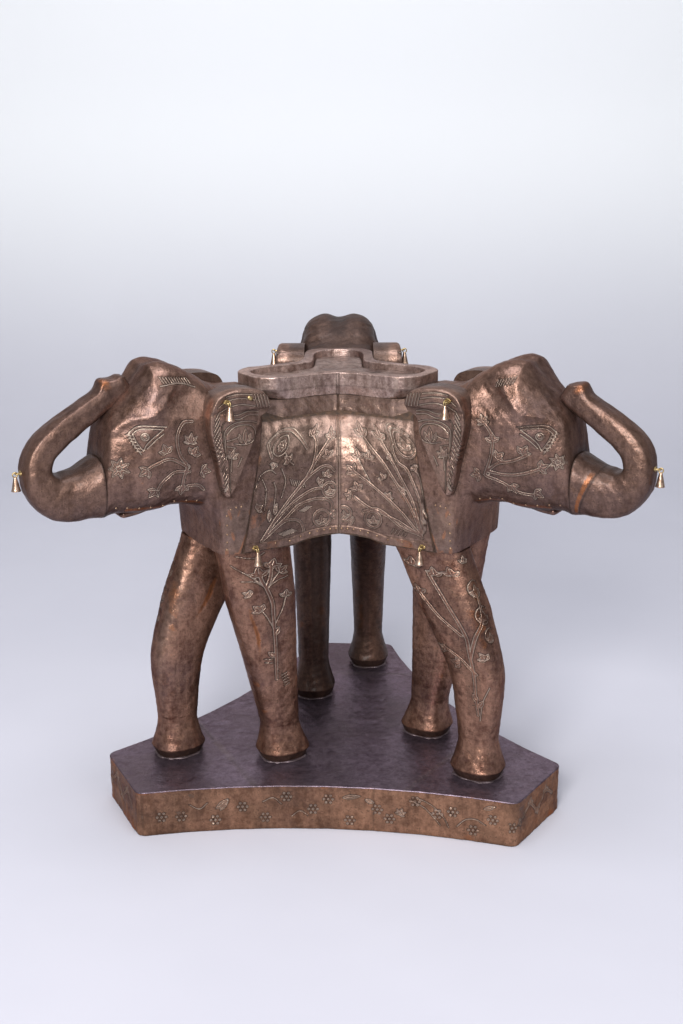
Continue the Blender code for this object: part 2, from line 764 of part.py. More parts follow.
def trunk_heading(along):
    """Direction of the trunk, in radians above straight ahead, at a length from its root."""
    share = np.clip((along - TRUNK_CURL_START) / (TRUNK_CURL_END - TRUNK_CURL_START), 0, 1)
    return TRUNK_DIP * np.clip(along / TRUNK_CURL_START, 0, 1) + TRUNK_CURL * share ** 2 * (3 - 2 * share)


def trunk_path(lengths):
    """Centre line of the trunk in the plane of symmetry, as distance ahead and height."""
    fine = np.linspace(0, LONG_TRUNK_SHARE * TRUNK_LENGTH, 721)
    heading = trunk_heading(fine)
    step = fine[1] - fine[0]
    ahead = np.concatenate([[0], np.cumsum((np.cos(heading[1:]) + np.cos(heading[:-1])) / 2 * step)])
    rise = np.concatenate([[0], np.cumsum((np.sin(heading[1:]) + np.sin(heading[:-1])) / 2 * step)])
    start_x = BODY_ARM + HEAD_LENGTH
    start_z = SEAT + (TRUNK_ROOT_LOW + TRUNK_ROOT_HIGH) / 2
    return start_x + np.interp(lengths, fine, ahead), start_z + np.interp(lengths, fine, rise)


def trunk_thick(lengths):
    """Half thickness along the trunk, in its plane of curl."""
    root = (TRUNK_ROOT_HIGH - TRUNK_ROOT_LOW) / 2
    shares = [0.0, 0.10, 0.20, 0.32, 0.42, 0.60, 1.0]
    sizes = [root, root * 0.82, root * 0.78, root * 0.59, TRUNK_BEND_THICK, TRUNK_BEND_THICK * 0.95,
             TRUNK_TIP_THICK]
    return profile(shares, sizes, np.minimum(lengths / TRUNK_LENGTH, 1.0))


def trunk_half(lengths):
    """Half breadth along the trunk."""
    shares = [0.0, 0.20, 0.42, 1.0]
    sizes = [TRUNK_ROOT_HALF, TRUNK_ROOT_HALF * 0.3 + TRUNK_BEND_HALF * 0.7, TRUNK_BEND_HALF, TRUNK_TIP_HALF]
    return profile(shares, sizes, np.minimum(lengths / TRUNK_LENGTH, 1.0))


def long_trunk_length():
    """Length of the trunk that runs on: its share of the usual length, less what would come too near the brow."""
    lengths = np.linspace(TRUNK_CURL_END, LONG_TRUNK_SHARE * TRUNK_LENGTH, 400)
    ahead, rise = trunk_path(lengths)
    heading = trunk_heading(lengths)
    thick = trunk_thick(lengths)
    inner_ahead = ahead - np.sin(heading) * thick
    inner_rise = rise + np.cos(heading) * thick
    brow = SEAT + head_top(np.minimum((inner_ahead - BODY_ARM) / HEAD_LENGTH, 1.0))
    return lengths[inner_rise - brow > LONG_TRUNK_CLEAR].max()


def build_trunk(length, finger_back):
    """Sweep along the curl from an upright root face, with a finger bump near the tip and a tenon."""
    finger = length - finger_back
    lengths = np.concatenate([np.linspace(GAP, TRUNK_LENGTH * 0.82, TRUNK_STEPS - 4),
                              np.linspace(finger - 0.005, length, 5)])
    ahead, rise = trunk_path(lengths)
    heading = trunk_heading(lengths)
    heading[0] = 0.0
    thick = trunk_thick(lengths)
    half = trunk_half(lengths)
    rings = []
    for index, along in enumerate(lengths):
        across, out = superellipse(TRUNK_SIDES, 2.6)
        bump = TRUNK_FINGER * math.exp(-((along - finger) / 0.007) ** 2)
        reach = out * thick[index] + np.clip(out, 0, 1) * bump
        away = np.array([math.sin(heading[index]), -math.cos(heading[index])])
        rings.append(np.column_stack([ahead[index] + away[0] * reach, across * half[index],
                                      rise[index] + away[1] * reach]))
    trunk = loft(rings)
    return boolean(trunk, trunk_tenon(0.0, TRUNK_TENON_LENGTH / 2), "UNION")


def ear_outline():
    """Ear seen from the side: a broad scrolled top that narrows to a tip below, as shares of its size."""
    corners = np.array([(0.04, 0.90), (0.20, 1.0), (0.55, 1.0), (0.90, 0.92), (1.0, 0.68), (0.88, 0.36),
                        (0.74, 0.02), (0.60, 0.03), (0.34, 0.30), (0.12, 0.56), (0.10, 0.74)])
    count = len(corners)
    turn = np.arange(EAR_SIDES) * count / EAR_SIDES
    index = turn.astype(int)
    t = (turn - index)[:, None]
    before, here, after, beyond = (corners[(index + shift) % count] for shift in (-1, 0, 1, 2))
    curve = here + 0.5 * t * (after - before + t * (2 * before - 5 * here + 4 * after - beyond
                                                    + t * (3 * (here - after) + beyond - before)))
    ahead = BODY_ARM + EAR_BACK + curve[:, 0] * EAR_LENGTH
    height = SEAT + EAR_TOP_RISE - EAR_HEIGHT * (1 - curve[:, 1])
    return np.column_stack([ahead, height])


def build_ear(mirror):
    """Plate with a raised border and a sunk field, hollowed to sit on the head."""
    outline = ear_outline()
    middle = outline.mean(0)
    steps = [(1.0, EAR_ROOT), (1.0, EAR_FACE - EAR_EDGE), (0.95, EAR_FACE), (0.80, EAR_FACE),
             (0.76, EAR_FACE - EAR_FIELD_DROP)]
    rings = []
    for size, side in steps:
        shape = middle + (outline - middle) * size
        rings.append(np.column_stack([shape[:, 0], np.full(EAR_SIDES, mirror * side), shape[:, 1]]))
    return boolean(loft(rings), loft(head_rings(GAP)), "DIFFERENCE")


# Bells

def build_bell():
    """Flared hollow bell with an eye, hanging from a pivot at its origin that lies along X."""
    eye_drop = EYE_RADIUS - 2 * WIRE_RADIUS - GAP
    neck = -eye_drop - EYE_RADIUS
    mouth = neck - BELL_LENGTH
    outer = [(BELL_NECK, neck + WIRE_RADIUS / 2), (BELL_MOUTH * 0.60, neck - BELL_LENGTH * 0.40), (BELL_MOUTH, mouth)]
    inner = [(BELL_MOUTH - BELL_WALL, mouth), (BELL_MOUTH * 0.60 - BELL_WALL, neck - BELL_LENGTH * 0.45)]
    rings = []
    for radius, height in outer + inner:
        across, ahead = superellipse(BELL_SIDES, 2)
        rings.append(np.column_stack([radius * across, radius * ahead, np.full(BELL_SIDES, height)]))
    cup = loft(rings)
    points = []
    faces = []
    ring_sides = 6
    wire_sides = 4
    for step in range(ring_sides):
        turn = step * 2 * math.pi / ring_sides
        for corner in range(wire_sides):
            roll = (corner + 0.5) * 2 * math.pi / wire_sides
            arm = EYE_RADIUS + WIRE_RADIUS * math.cos(roll)
            points.append((WIRE_RADIUS * math.sin(roll), arm * math.sin(turn), -eye_drop + arm * math.cos(turn)))
            after = (step + 1) % ring_sides
            beside = (corner + 1) % wire_sides
            faces.append((step * wire_sides + corner, step * wire_sides + beside,
                          after * wire_sides + beside, after * wire_sides + corner))
    return boolean(cup, mesh_of(points, faces), "UNION")


def build_staple():
    """Wire bow whose crown runs along X through the pivot and whose legs reach back to what carries it."""
    bow = np.linspace(0, math.pi, 5)
    path = [(-STAPLE_HALF, -STAPLE_REACH)]
    path += [(-STAPLE_HALF * math.cos(turn), STAPLE_HALF * (math.sin(turn) - 1)) for turn in bow]
    path += [(STAPLE_HALF, -STAPLE_REACH)]
    path = np.array(path)
    tangent = np.gradient(path, axis=0)
    tangent[0] = (0, 1)
    tangent[-1] = (0, -1)
    tangent = tangent / np.linalg.norm(tangent, axis=1, keepdims=True)
    across, up = superellipse(4, 2)
    rings = []
    for (x, y), (run_x, run_y) in zip(path, tangent):
        rings.append(np.column_stack([x - run_y * WIRE_RADIUS * across, y + run_x * WIRE_RADIUS * across,
                                      WIRE_RADIUS * up]))
    return loft(rings)


def bell_places(trunk):
    """Where each bell hangs on one elephant: its pivot and the heading that points away from its carrier."""
    places = {}
    clear = GAP + STAPLE_REACH
    lengths = np.linspace(0, TRUNK_LENGTH, 400)
    ahead, rise = trunk_path(lengths)
    heading = trunk_heading(lengths)
    outermost = int(np.argmin(np.abs(heading - math.pi / 2)))
    skin = BVHTree.FromPolygons([point.co for point in trunk.vertices], [face.vertices for face in trunk.polygons])
    before = Vector((ahead[outermost] + TRUNK_LENGTH, STAPLE_HALF, rise[outermost]))
    front = skin.ray_cast(before, Vector((-1, 0, 0)))[0].x
    places["trunk_bell"] = (Vector((front + clear, 0, rise[outermost])), -math.pi / 2)
    for name, mirror in (("left", 1), ("right", -1)):
        ear_rise = SEAT + EAR_TOP_RISE - EAR_BELL_DROP
        ear = Vector((BODY_ARM + EAR_BELL_AHEAD, mirror * (EAR_FACE + clear), ear_rise))
        places[name + "_ear_bell"] = (ear, 0.0 if mirror > 0 else math.pi)
        height = np.array([HEM_BELL_RISE])
        angle = np.arctan2(body_half(height), neck_plane(height) - HEM_BELL_BACK)
        sheet = flank_point(angle, height, GAP + PANEL_SHEET)[0]
        pivot = flank_point(angle, height, GAP + PANEL_SHEET + clear)[0]
        out = pivot - sheet
        turn = math.atan2(out[1], out[0]) - math.pi / 2
        places[name + "_hem_bell"] = (Vector((pivot[0], mirror * pivot[1], sheet[2])), turn if mirror > 0 else
                                      math.pi - turn)
    return places


# The whole table

def build_table():
    """All pieces, in their places."""
    clear_scene()
    body_sockets = []
    plinth_sockets = []
    for angle in ELEPHANTS.values():
        for foot_reach, top_reach, knee, side in LEGS.values():
            body_sockets.append(turned(leg_socket(top_reach - LEG_TENON_BACK, side, SEAT, 1), angle))
            plinth_sockets.append(turned(leg_socket(foot_reach, side, PLINTH_HEIGHT, -1), angle))
    build_plinth(plinth_sockets)
    body = turned(build_body([turned(socket, -ELEPHANTS["rear"]) for socket in body_sockets]), ELEPHANTS["rear"])
    place("body_block", body, DARK_COPPER)
    place("saddle_block", turned(build_saddle(), ELEPHANTS["rear"]), DARK_COPPER)
    place("tray", turned(build_tray(), ELEPHANTS["rear"]), CHASED_COPPER)
    pieces = {"head": build_head(), "trunk": build_trunk(TRUNK_LENGTH, TRUNK_FINGER_BACK)}
    long_trunk = build_trunk(long_trunk_length(), LONG_TRUNK_FINGER_BACK)
    for name, leg in LEGS.items():
        pieces[name] = build_leg(*leg)
    for name, mirror in (("left", 1), ("right", -1)):
        pieces[name + "_ear"] = build_ear(mirror)
        pieces[name + "_flank_panel"] = build_panel(mirror)
    bell = build_bell()
    staple = build_staple()
    for elephant, angle in ELEPHANTS.items():
        stand = bpy.data.objects.new(elephant + "_elephant", None)
        bpy.context.scene.collection.objects.link(stand)
        stand.rotation_euler = (0, 0, angle)
        for name, mesh in pieces.items():
            metal = CHASED_COPPER if "panel" in name or "ear" in name else DARK_COPPER
            shape = long_trunk if name == "trunk" and elephant == LONG_TRUNK_BEARER else mesh
            place(f"{elephant}_elephant_{name}", shape, metal, stand)
        for name, (pivot, heading) in bell_places(pieces["trunk"]).items():
            place(f"{elephant}_elephant_{name}", bell, BELL_METAL, stand, pivot, heading)
            place(f"{elephant}_elephant_{name}_staple", staple, WIRE_METAL, stand, pivot, heading)


build_table()
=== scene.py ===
# %% [markdown]
# # Dressing the elephant table
# The packed solids are the frame of this scene: they give every piece its place and its size. The real
# table is carved wood under thin copper sheet, so what the eye meets is the sheet: its chased vines, its
# seams and nails, its brown patina and the bare copper where hands have rubbed it. This script lays that
# skin over the solids.

import json
import math

import bpy
import numpy as np
from mathutils import Matrix, Vector


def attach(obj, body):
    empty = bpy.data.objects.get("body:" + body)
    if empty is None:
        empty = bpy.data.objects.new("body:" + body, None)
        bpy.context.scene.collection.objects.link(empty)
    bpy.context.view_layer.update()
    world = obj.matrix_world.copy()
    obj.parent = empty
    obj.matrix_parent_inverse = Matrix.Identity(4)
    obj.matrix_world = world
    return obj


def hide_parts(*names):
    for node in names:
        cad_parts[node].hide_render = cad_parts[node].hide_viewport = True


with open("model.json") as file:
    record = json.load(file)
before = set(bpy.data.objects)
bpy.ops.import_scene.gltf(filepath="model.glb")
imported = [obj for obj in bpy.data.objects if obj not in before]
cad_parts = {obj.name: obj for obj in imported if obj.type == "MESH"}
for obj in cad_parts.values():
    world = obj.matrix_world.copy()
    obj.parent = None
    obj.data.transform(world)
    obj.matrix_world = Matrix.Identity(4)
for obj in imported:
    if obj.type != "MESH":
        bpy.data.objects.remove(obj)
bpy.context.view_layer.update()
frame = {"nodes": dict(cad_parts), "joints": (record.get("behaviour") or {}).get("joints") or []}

# %% [markdown]
# The skin has to lie on the solids, so their driving sizes come first, in metres. An elephant is worked
# out facing +X with its left side towards +Y, and then stands three times round the table's axis.

# %% Sizes shared with the solids
GAP = 0.0003
PLINTH_REACH, PLINTH_END_HALF, PLINTH_HOLLOW, PLINTH_CORNER = 0.239, 0.0485, 0.0255, 0.010
PLINTH_HEIGHT, PLINTH_SHEET, BAND_LIFT = 0.047, 0.0010, 0.0008
PLINTH_TURN, PLINTH_SHIFT = math.radians(-3.8), np.array([-0.004, -0.007])
LEG_HEIGHT, LEG_SIDE = 0.230, 0.0315
BODY_HALF, BODY_HEIGHT, BODY_BLEND, BODY_ARM = 0.0570, 0.128, 5.0, 0.1375
NECK_SLOPE = math.tan(math.radians(12))
SEAT = PLINTH_HEIGHT + LEG_HEIGHT
BODY_TOP = SEAT + BODY_HEIGHT
TRAY_BASE = BODY_TOP + 0.0105
HEAD_LENGTH = 0.1200
ELEPHANTS = {"rear": math.radians(90), "left": math.radians(210), "right": math.radians(330)}
THIRD_TURN = math.radians(120)
HALF_THIRD = math.radians(60)
print("seat of the bodies at", SEAT, "m, backs at", BODY_TOP, "m")

# %% [markdown]
# The camera stands where the photographer stood: a little above the tray, looking slightly down, with a
# normal lens. The numbers come from matching the solids' outline to the picture, so they are kept as they
# were solved.

# %% Camera
CAMERA_PLACE = Vector((0.01146, -1.31578, 0.66503))
CAMERA_YAW, CAMERA_PITCH, CAMERA_ROLL = -0.0071, -0.28201, -0.00865
FOCAL_PIXELS = 1332.95
IMAGE_HEIGHT_PIXELS = 1024
SENSOR = 36.0

lens = bpy.data.cameras.new("photo_camera")
lens.sensor_fit = "VERTICAL"
lens.sensor_height = SENSOR
lens.lens = SENSOR * FOCAL_PIXELS / IMAGE_HEIGHT_PIXELS
camera = bpy.data.objects.new("photo_camera", lens)
bpy.context.scene.collection.objects.link(camera)
look = Vector((math.sin(CAMERA_YAW) * math.cos(CAMERA_PITCH), math.cos(CAMERA_YAW) * math.cos(CAMERA_PITCH),
               math.sin(CAMERA_PITCH)))
turn_to = look.to_track_quat("-Z", "Y").to_matrix().to_4x4()
camera.matrix_world = Matrix.Translation(CAMERA_PLACE) @ turn_to @ Matrix.Rotation(CAMERA_ROLL, 4, "Z")
bpy.context.scene.camera = camera
print("lens", round(lens.lens, 1), "mm")

# %% [markdown]
# Node materials are easier to read as sums than as boxes and wires. This class wraps one socket, so that
# plus, times and the rest add a Math node, and one method adds any other node: its settings first, then
# its sockets.

# %% A socket that can be reckoned with
class Wire:
    """One output socket of a material's nodes, usable in sums."""

    def __init__(self, tree, socket=None):
        self.tree = tree
        self.socket = socket

    def make(self, kind, settings, sockets, output=0):
        """New node: settings are attributes of the node, sockets are numbers, colours or other wires."""
        node = self.tree.nodes.new(kind)
        for name, value in settings.items():
            setattr(node, name, value)
        self.dress(node, sockets)
        return Wire(self.tree, node.outputs[output])

    def dress(self, node, sockets):
        """Link wires to a node's sockets, and set plain values on the sockets themselves."""
        for name, value in sockets.items():
            if isinstance(value, Wire):
                self.tree.links.new(value.socket, node.inputs[name])
            else:
                node.inputs[name].default_value = value

    def sum_with(self, operation, first, second):
        """Math node on two numbers or wires."""
        return self.make("ShaderNodeMath", {"operation": operation}, {0: first, 1: second})

    def __add__(self, other):
        return self.sum_with("ADD", self, other)

    __radd__ = __add__

    def __sub__(self, other):
        return self.sum_with("SUBTRACT", self, other)

    def __rsub__(self, other):
        return self.sum_with("SUBTRACT", other, self)

    def __mul__(self, other):
        return self.sum_with("MULTIPLY", self, other)

    __rmul__ = __mul__

    def rise(self, low, high):
        """0 below one value and 1 above another, with a smooth step between them."""
        return self.make("ShaderNodeMapRange", {"interpolation_type": "SMOOTHSTEP"},
                         {"Value": self, "From Min": low, "From Max": high})

    def colour(self, first, second):
        """Colour that goes from the first to the second as this wire goes from 0 to 1."""
        ends = [end if isinstance(end, Wire) else (*end, 1) for end in (first, second)]
        return self.make("ShaderNodeMix", {"data_type": "RGBA"}, {0: self, 6: ends[0], 7: ends[1]}, 2)

    def size(self):
        """This value without its sign."""
        return self.make("ShaderNodeMath", {"operation": "ABSOLUTE"}, {0: self})


print("sums on sockets:", [name for name in vars(Wire) if name.startswith("__")][2:])

# %% [markdown]
# Every finish here is made of the same few things: noise of several sizes over the piece's own
# coordinates, numbers that the mesh carries at each of its points, and dents whose height is a sum of
# those.

# %% Noise, marks and dents
def open_finish(name):
    """Empty material, a wire to build on and its shader."""
    material = bpy.data.materials.new(name)
    material.use_nodes = True
    tree = material.node_tree
    return material, Wire(tree), tree.nodes["Principled BSDF"]


def grain(wire, scale, detail=4.0, roughness=0.55, stretch=None):
    """Noise over the piece's own coordinates, between 0 and 1."""
    place = wire.make("ShaderNodeTexCoord", {}, {}, "Object")
    if stretch is not None:
        place = wire.make("ShaderNodeMapping", {}, {"Vector": place, "Scale": stretch})
    sizes = {"Scale": scale, "Detail": detail, "Roughness": roughness}
    return wire.make("ShaderNodeTexNoise", {}, {"Vector": place, **sizes})


def mark(wire, name):
    """A number that each point of the mesh carries."""
    return wire.make("ShaderNodeAttribute", {"attribute_name": name}, {}, "Fac")


def dented(wire, height, strength, distance):
    """Normal of a surface that is raised by a height, whose full span is a distance in metres."""
    return wire.make("ShaderNodeBump", {}, {"Strength": strength, "Distance": distance, "Height": height})


print("noise, marks and dents ready")

# %% [markdown]
# Old copper sheet is not one colour. Under a thin brown skin it is orange, the skin is purplish where it
# is thick and smooth, dirt darkens the dents, and the chasing tool leaves paler lines, with painted shade
# just outside them. The mesh carries four numbers for this, worked out with its shape: vine (how far off
# the nearest drawn edge is), chase (how scratched, and in places painted light), bare (how rubbed) and
# soot (how dirty, and in places painted shade).

# %% Copper sheet
LINE_SPAN = 4.0
BLOOM_TONE, LINE_TONE = (0.120, 0.090, 0.104), (0.36, 0.29, 0.235)
# the grime tone also colours the painted shade beside the tooled lines, and the soot tone both dirt and
# painted shade
GRIME_AND_SHADE_TONE, SOOT_AND_SHADE_TONE = (0.026, 0.019, 0.016), (0.016, 0.011, 0.010)
BARE_TONES = ((0.26, 0.082, 0.030), (0.46, 0.180, 0.070))
EDGE_TINT = (0.36, 0.26, 0.23, 1.0)


def copper_finish(name, dark, light, purple=0.35, worn=0.5):
    """Patina between two browns, a purple bloom, rubbed copper, grime, pale tooled lines with painted shade
    just outside them, and the marks' dirt, painted shade and painted light.
    """
    material, wire, shader = open_finish(name)
    broad = grain(wire, 14.0, 5.0)
    cloud = grain(wire, 55.0, 6.0, 0.65)
    speck = grain(wire, 210.0, 5.0, 0.65)
    fine = grain(wire, 620.0, 3.0, 0.6)
    streak = grain(wire, 150.0, 4.0, 0.6, (1.0, 1.0, 0.16))
    chase, bare, soot = (mark(wire, one) for one in ("chase", "bare", "soot"))
    away = (mark(wire, "vine") - 0.5) * LINE_SPAN
    tooled = (1.0 - away.size().rise(0.14, 0.44)) * (0.25 + 0.75 * cloud.rise(0.32, 0.52))
    # painted shade: a dark band just outside each tooled line
    shade = 1.0 - (away - 0.62).size().rise(0.12, 0.48)
    patina = broad * 0.22 + cloud * 0.20 + speck * 0.36 + streak * 0.22
    bloom = (1.35 - broad).rise(0.72, 1.02) * cloud.rise(0.30, 0.62) * purple
    rubbed = (bare * 1.15 + cloud * 0.80 + speck * 0.70 - 0.78).rise(0.32, 0.85) * bare.rise(0.02, 0.35)
    stray = (cloud * 0.35 + speck * 0.65).rise(0.60, 0.70) * worn * 0.6
    grime = (speck * 0.45 + fine * 0.55).rise(0.53, 0.64) * 0.60
    tone = bloom.colour(patina.rise(0.385, 0.615).colour(dark, light), BLOOM_TONE)
    tone = (rubbed + stray).colour(tone, fine.colour(*BARE_TONES))
    # grime specks and the painted shade beside the lines, in one dark tone
    tone = (grime + shade * 0.62).colour(tone, GRIME_AND_SHADE_TONE)
    # the chase mark: scratches, and in places painted light
    tone = (tooled * 0.85 + chase * (0.15 + 0.9 * speck)).colour(tone, LINE_TONE)
    # the soot mark: dirt, and in places painted shade
    tone = (soot * (0.55 + 0.5 * cloud)).colour(tone, SOOT_AND_SHADE_TONE)
    dents = cloud * 0.36 + speck * 0.60 + fine * 0.34 - tooled * 0.55 + streak * 0.45
    wire.dress(shader, {
        "Base Color": tone,
        "Roughness": 0.21 + 0.24 * cloud + 0.14 * soot + 0.15 * grime - 0.07 * bare,
        "Metallic": 0.84 - 0.35 * soot - 0.15 * bloom - 0.25 * grime,
        "Normal": dented(wire, dents, 0.62, 0.0012),
        "Coat Weight": 0.12,
        "Coat Roughness": 0.24,
        "Specular Tint": EDGE_TINT,
    })
    return material


print("tooled lines show within", LINE_SPAN / 2, "mm of a drawn edge")

# %% [markdown]
# Bells, wire and nails are too small for so many layers, so two tones of one metal and a fine grain do.
# The wood under the sheet shows only in slits, as dark streaks along the grain.

# %% Small metal and timber
def plain_metal(name, dark, light, roughness):
    """Small metal parts: two tones of one metal with a fine grain."""
    material, wire, shader = open_finish(name)
    cloud = grain(wire, 220.0, 4.0)
    speck = grain(wire, 1400.0, 2.0)
    tone = (cloud * 0.7 + speck * 0.3).rise(0.34, 0.66).colour(dark, light)
    # the soot mark darkens the metal; on a bell it is painted shade inside the cup
    wire.dress(shader, {
        "Base Color": (mark(wire, "soot") * 0.8).colour(tone, (0.03, 0.02, 0.015)),
        "Roughness": roughness + 0.2 * cloud,
        "Metallic": 0.95,
        "Normal": dented(wire, speck, 0.2, 0.0004),
    })
    return material


def carved_wood(name):
    """Dark timber seen under the sheet: long streaks along Z with a coarse grain."""
    material, wire, shader = open_finish(name)
    streak = grain(wire, 60.0, 6.0, 0.6, (4.0, 4.0, 0.5))
    wire.dress(shader, {
        "Base Color": streak.rise(0.3, 0.7).colour((0.030, 0.018, 0.012), (0.085, 0.046, 0.026)),
        "Roughness": 0.68 + 0.2 * streak,
        "Normal": dented(wire, streak, 0.4, 0.001),
    })
    return material


BELL = plain_metal("bell_metal", (0.34, 0.22, 0.15), (0.72, 0.53, 0.41), 0.24)
BRASS = plain_metal("brass_wire", (0.30, 0.21, 0.09), (0.62, 0.48, 0.24), 0.30)
NAIL = plain_metal("nail_metal", (0.20, 0.12, 0.08), (0.48, 0.32, 0.20), 0.35)
WOOD = carved_wood("carved_wood")
print("small finishes:", [one.name for one in (BELL, BRASS, NAIL, WOOD)])

# %% [markdown]
# The table's coppers differ only in their two browns, in how purple they are and in how worn: dark hides,
# paler flanks, reddish legs, a pale tray, a purple slab and an orange band.

# %% The coppers of this table
HIDE = copper_finish("hide_copper", (0.096, 0.053, 0.038), (0.268, 0.160, 0.122))
FLANK = copper_finish("flank_copper", (0.140, 0.084, 0.064), (0.370, 0.240, 0.188), 0.22)
LEG = copper_finish("leg_copper", (0.104, 0.047, 0.032), (0.362, 0.200, 0.138), 0.30, worn=0.9)
TRAY = copper_finish("tray_copper", (0.185, 0.118, 0.096), (0.670, 0.500, 0.440), 0.50)
SLAB = copper_finish("slab_copper", (0.090, 0.068, 0.088), (0.225, 0.176, 0.222), 0.75)
BAND = copper_finish("band_copper", (0.135, 0.067, 0.040), (0.380, 0.205, 0.126), 0.12)
print("coppers:", [one.name for one in (HIDE, FLANK, LEG, TRAY, SLAB, BAND)])

# %% [markdown]
# Nearly every piece here is a stack of closed rings: a head is rings from neck to trunk, a leg is rings
# from foot to body, a bell is rings from eye to mouth. So the first tools work on whole arrays of points:
# they turn them round the table, lift them, and push a stack's skin in and out along its normals.

# %% Turning, raising and beating
def unit(vectors):
    """Vectors of the same direction whose length is 1."""
    return vectors / np.maximum(np.linalg.norm(vectors, axis=-1, keepdims=True), 1e-12)


def turned(points, angle):
    """Points turned about the table's axis."""
    cosine, sine = math.cos(angle), math.sin(angle)
    return points @ np.array([[cosine, sine, 0], [-sine, cosine, 0], [0, 0, 1]])


def raised(flat, height):
    """Flat points given a height."""
    return np.concatenate([flat, np.broadcast_to(np.asarray(height)[..., None], flat.shape[:-1] + (1,))], -1)


def outward(rings):
    """Unit normals of a ring stack: step round the ring crossed with step to the next ring, facing away from
    the rings' middles."""
    along = np.gradient(rings, axis=0)
    beside = np.roll(rings, -1, 1) - np.roll(rings, 1, 1)
    normal = unit(np.cross(beside, along))
    facing = np.sum(normal * (rings - rings.mean(1, keepdims=True)))
    return normal if facing > 0 else -normal


def beaten(rings, relief):
    """Rings moved along their normals by a relief in millimetres."""
    return rings + outward(rings) * relief[..., None] * 0.001


print("the rear elephant faces", turned(np.array([1.0, 0.0, 0.0]), ELEPHANTS["rear"]).round(3))

# %% [markdown]
# One function turns an array of rings into a closed mesh. It measures the volume the faces enclose and
# winds them the other way round if that comes out negative. Another sets a piece on all three elephants.

# %% From rings to a mesh
def skin(name, rings, finish, marks=None, body="table", stands_for=(), sharp=55, tube=False):
    """Closed mesh through rings of shape (rings, sides, 3), or several such stacks: four neighbours make a
    face, and so does each end ring, unless the stack is a tube whose last ring joins its first. The signed
    volume is the sum of p0 . (p1 x p2) over the faces' triangles, seen from the first point. A mark is one
    number for the piece, or one for each point."""
    count, sides = rings.shape[-3:-1]
    index = np.arange(rings.size // 3).reshape(-1, count, sides)
    after = np.roll(index, -1, 2)
    above = np.roll(index, -1, 1)
    quads = np.stack([index, after, np.roll(above, -1, 2), above], -1)
    quads = (quads if tube else quads[:, :-1]).reshape(-1, 4)
    ends = np.concatenate([index[:, 0, ::-1], index[:, -1]])[:0 if tube else None]
    flat = rings.reshape(-1, 3)
    a, b, c, d = (flat[quads[:, corner]] - flat[index[0, 0, 0]] for corner in range(4))
    volume = np.sum(a * np.cross(b, c)) + np.sum(a * np.cross(c, d))
    if volume < 0:
        quads = quads[:, ::-1]
        ends = ends[:, ::-1]
    loops = np.concatenate([quads.ravel(), ends.ravel()]).astype(np.int32)
    starts = np.concatenate([np.arange(len(quads)) * 4, quads.size + np.arange(len(ends)) * sides])
    mesh = bpy.data.meshes.new(name)
    mesh.vertices.add(len(flat))
    mesh.vertices.foreach_set("co", flat.astype(np.float32).ravel())
    mesh.loops.add(len(loops))
    mesh.loops.foreach_set("vertex_index", loops)
    mesh.polygons.add(len(starts))
    mesh.polygons.foreach_set("loop_start", starts.astype(np.int32))
    mesh.update(calc_edges=True)
    mesh.shade_smooth()
    mesh.set_sharp_from_angle(angle=math.radians(sharp))
    for key, values in (marks or {}).items():
        layer = mesh.attributes.new(key, "FLOAT", "POINT")
        values = np.broadcast_to(np.clip(values, 0, 1), rings.shape[:-1])
        layer.data.foreach_set("value", values.astype(np.float32).ravel())
    mesh.materials.append(finish)
    piece = bpy.data.objects.new(name, mesh)
    bpy.context.scene.collection.objects.link(piece)
    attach(piece, body)
    if stands_for:
        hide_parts(*stands_for)


def on_elephants(name, rings, finish, marks=None, node=None, mirror=1, rear_soot=0.0):
    """The same piece on all three elephants: its rings turned to each one's heading, and mirrored first for
    an elephant's right side. The rear elephant's can be painted darker, for shade and dirt."""
    for elephant, angle in ELEPHANTS.items():
        shaded = dict(marks or {})
        if elephant == "rear" and rear_soot > 0:
            shaded["soot"] = shaded["soot"] + rear_soot
        skin(f"{elephant}_{name}", turned(rings * [1, mirror, 1], angle), finish, shaded,
             stands_for=[f"{elephant}_elephant_{node}"] if node else ())


print("a stack of rings becomes a mesh on", len(ELEPHANTS), "elephants")

# %% [markdown]
# Carved forms are curves more than numbers. A profile runs smoothly through a few stations, a squared
# ring lies between a circle and a box, and soft hills and steps blend one form into the next.

# %% Curves, hills and steps
def profile(stations, values, at):
    """Smooth curve through stations: a cubic on each span whose slopes are the harmonic means of the chords'
    slopes, so it never swings past its own values."""
    stations = np.asarray(stations, float)
    values = np.asarray(values, float)
    steps = np.diff(stations)
    slopes = np.diff(values) / steps
    tangents = np.zeros(len(values))
    turning = slopes[:-1] * slopes[1:] > 0
    safe = np.where(turning, slopes[:-1] + slopes[1:], 1.0)
    tangents[1:-1] = np.where(turning, 2 * slopes[:-1] * slopes[1:] / safe, 0.0)
    tangents[0] = slopes[0]
    tangents[-1] = slopes[-1]
    span = np.clip(np.searchsorted(stations, at, side="right") - 1, 0, len(steps) - 1)
    t = (at - stations[span]) / steps[span]
    rise = values[span + 1] - values[span]
    start = tangents[span] * steps[span]
    end = tangents[span + 1] * steps[span]
    return values[span] + t * (start + t * ((3 * rise - 2 * start - end) + t * (start + end - 2 * rise)))


def squared(turn, power):
    """Unit ring, round at power 2 and boxier above it: cosine and sine raised to 2 / power, signs kept."""
    across = np.sign(np.cos(turn)) * np.abs(np.cos(turn)) ** (2 / power)
    up = np.sign(np.sin(turn)) * np.abs(np.sin(turn)) ** (2 / power)
    return across, up


def full_turn(sides):
    """Angles that cut a full turn into equal steps."""
    return np.arange(sides) * 2 * math.pi / sides


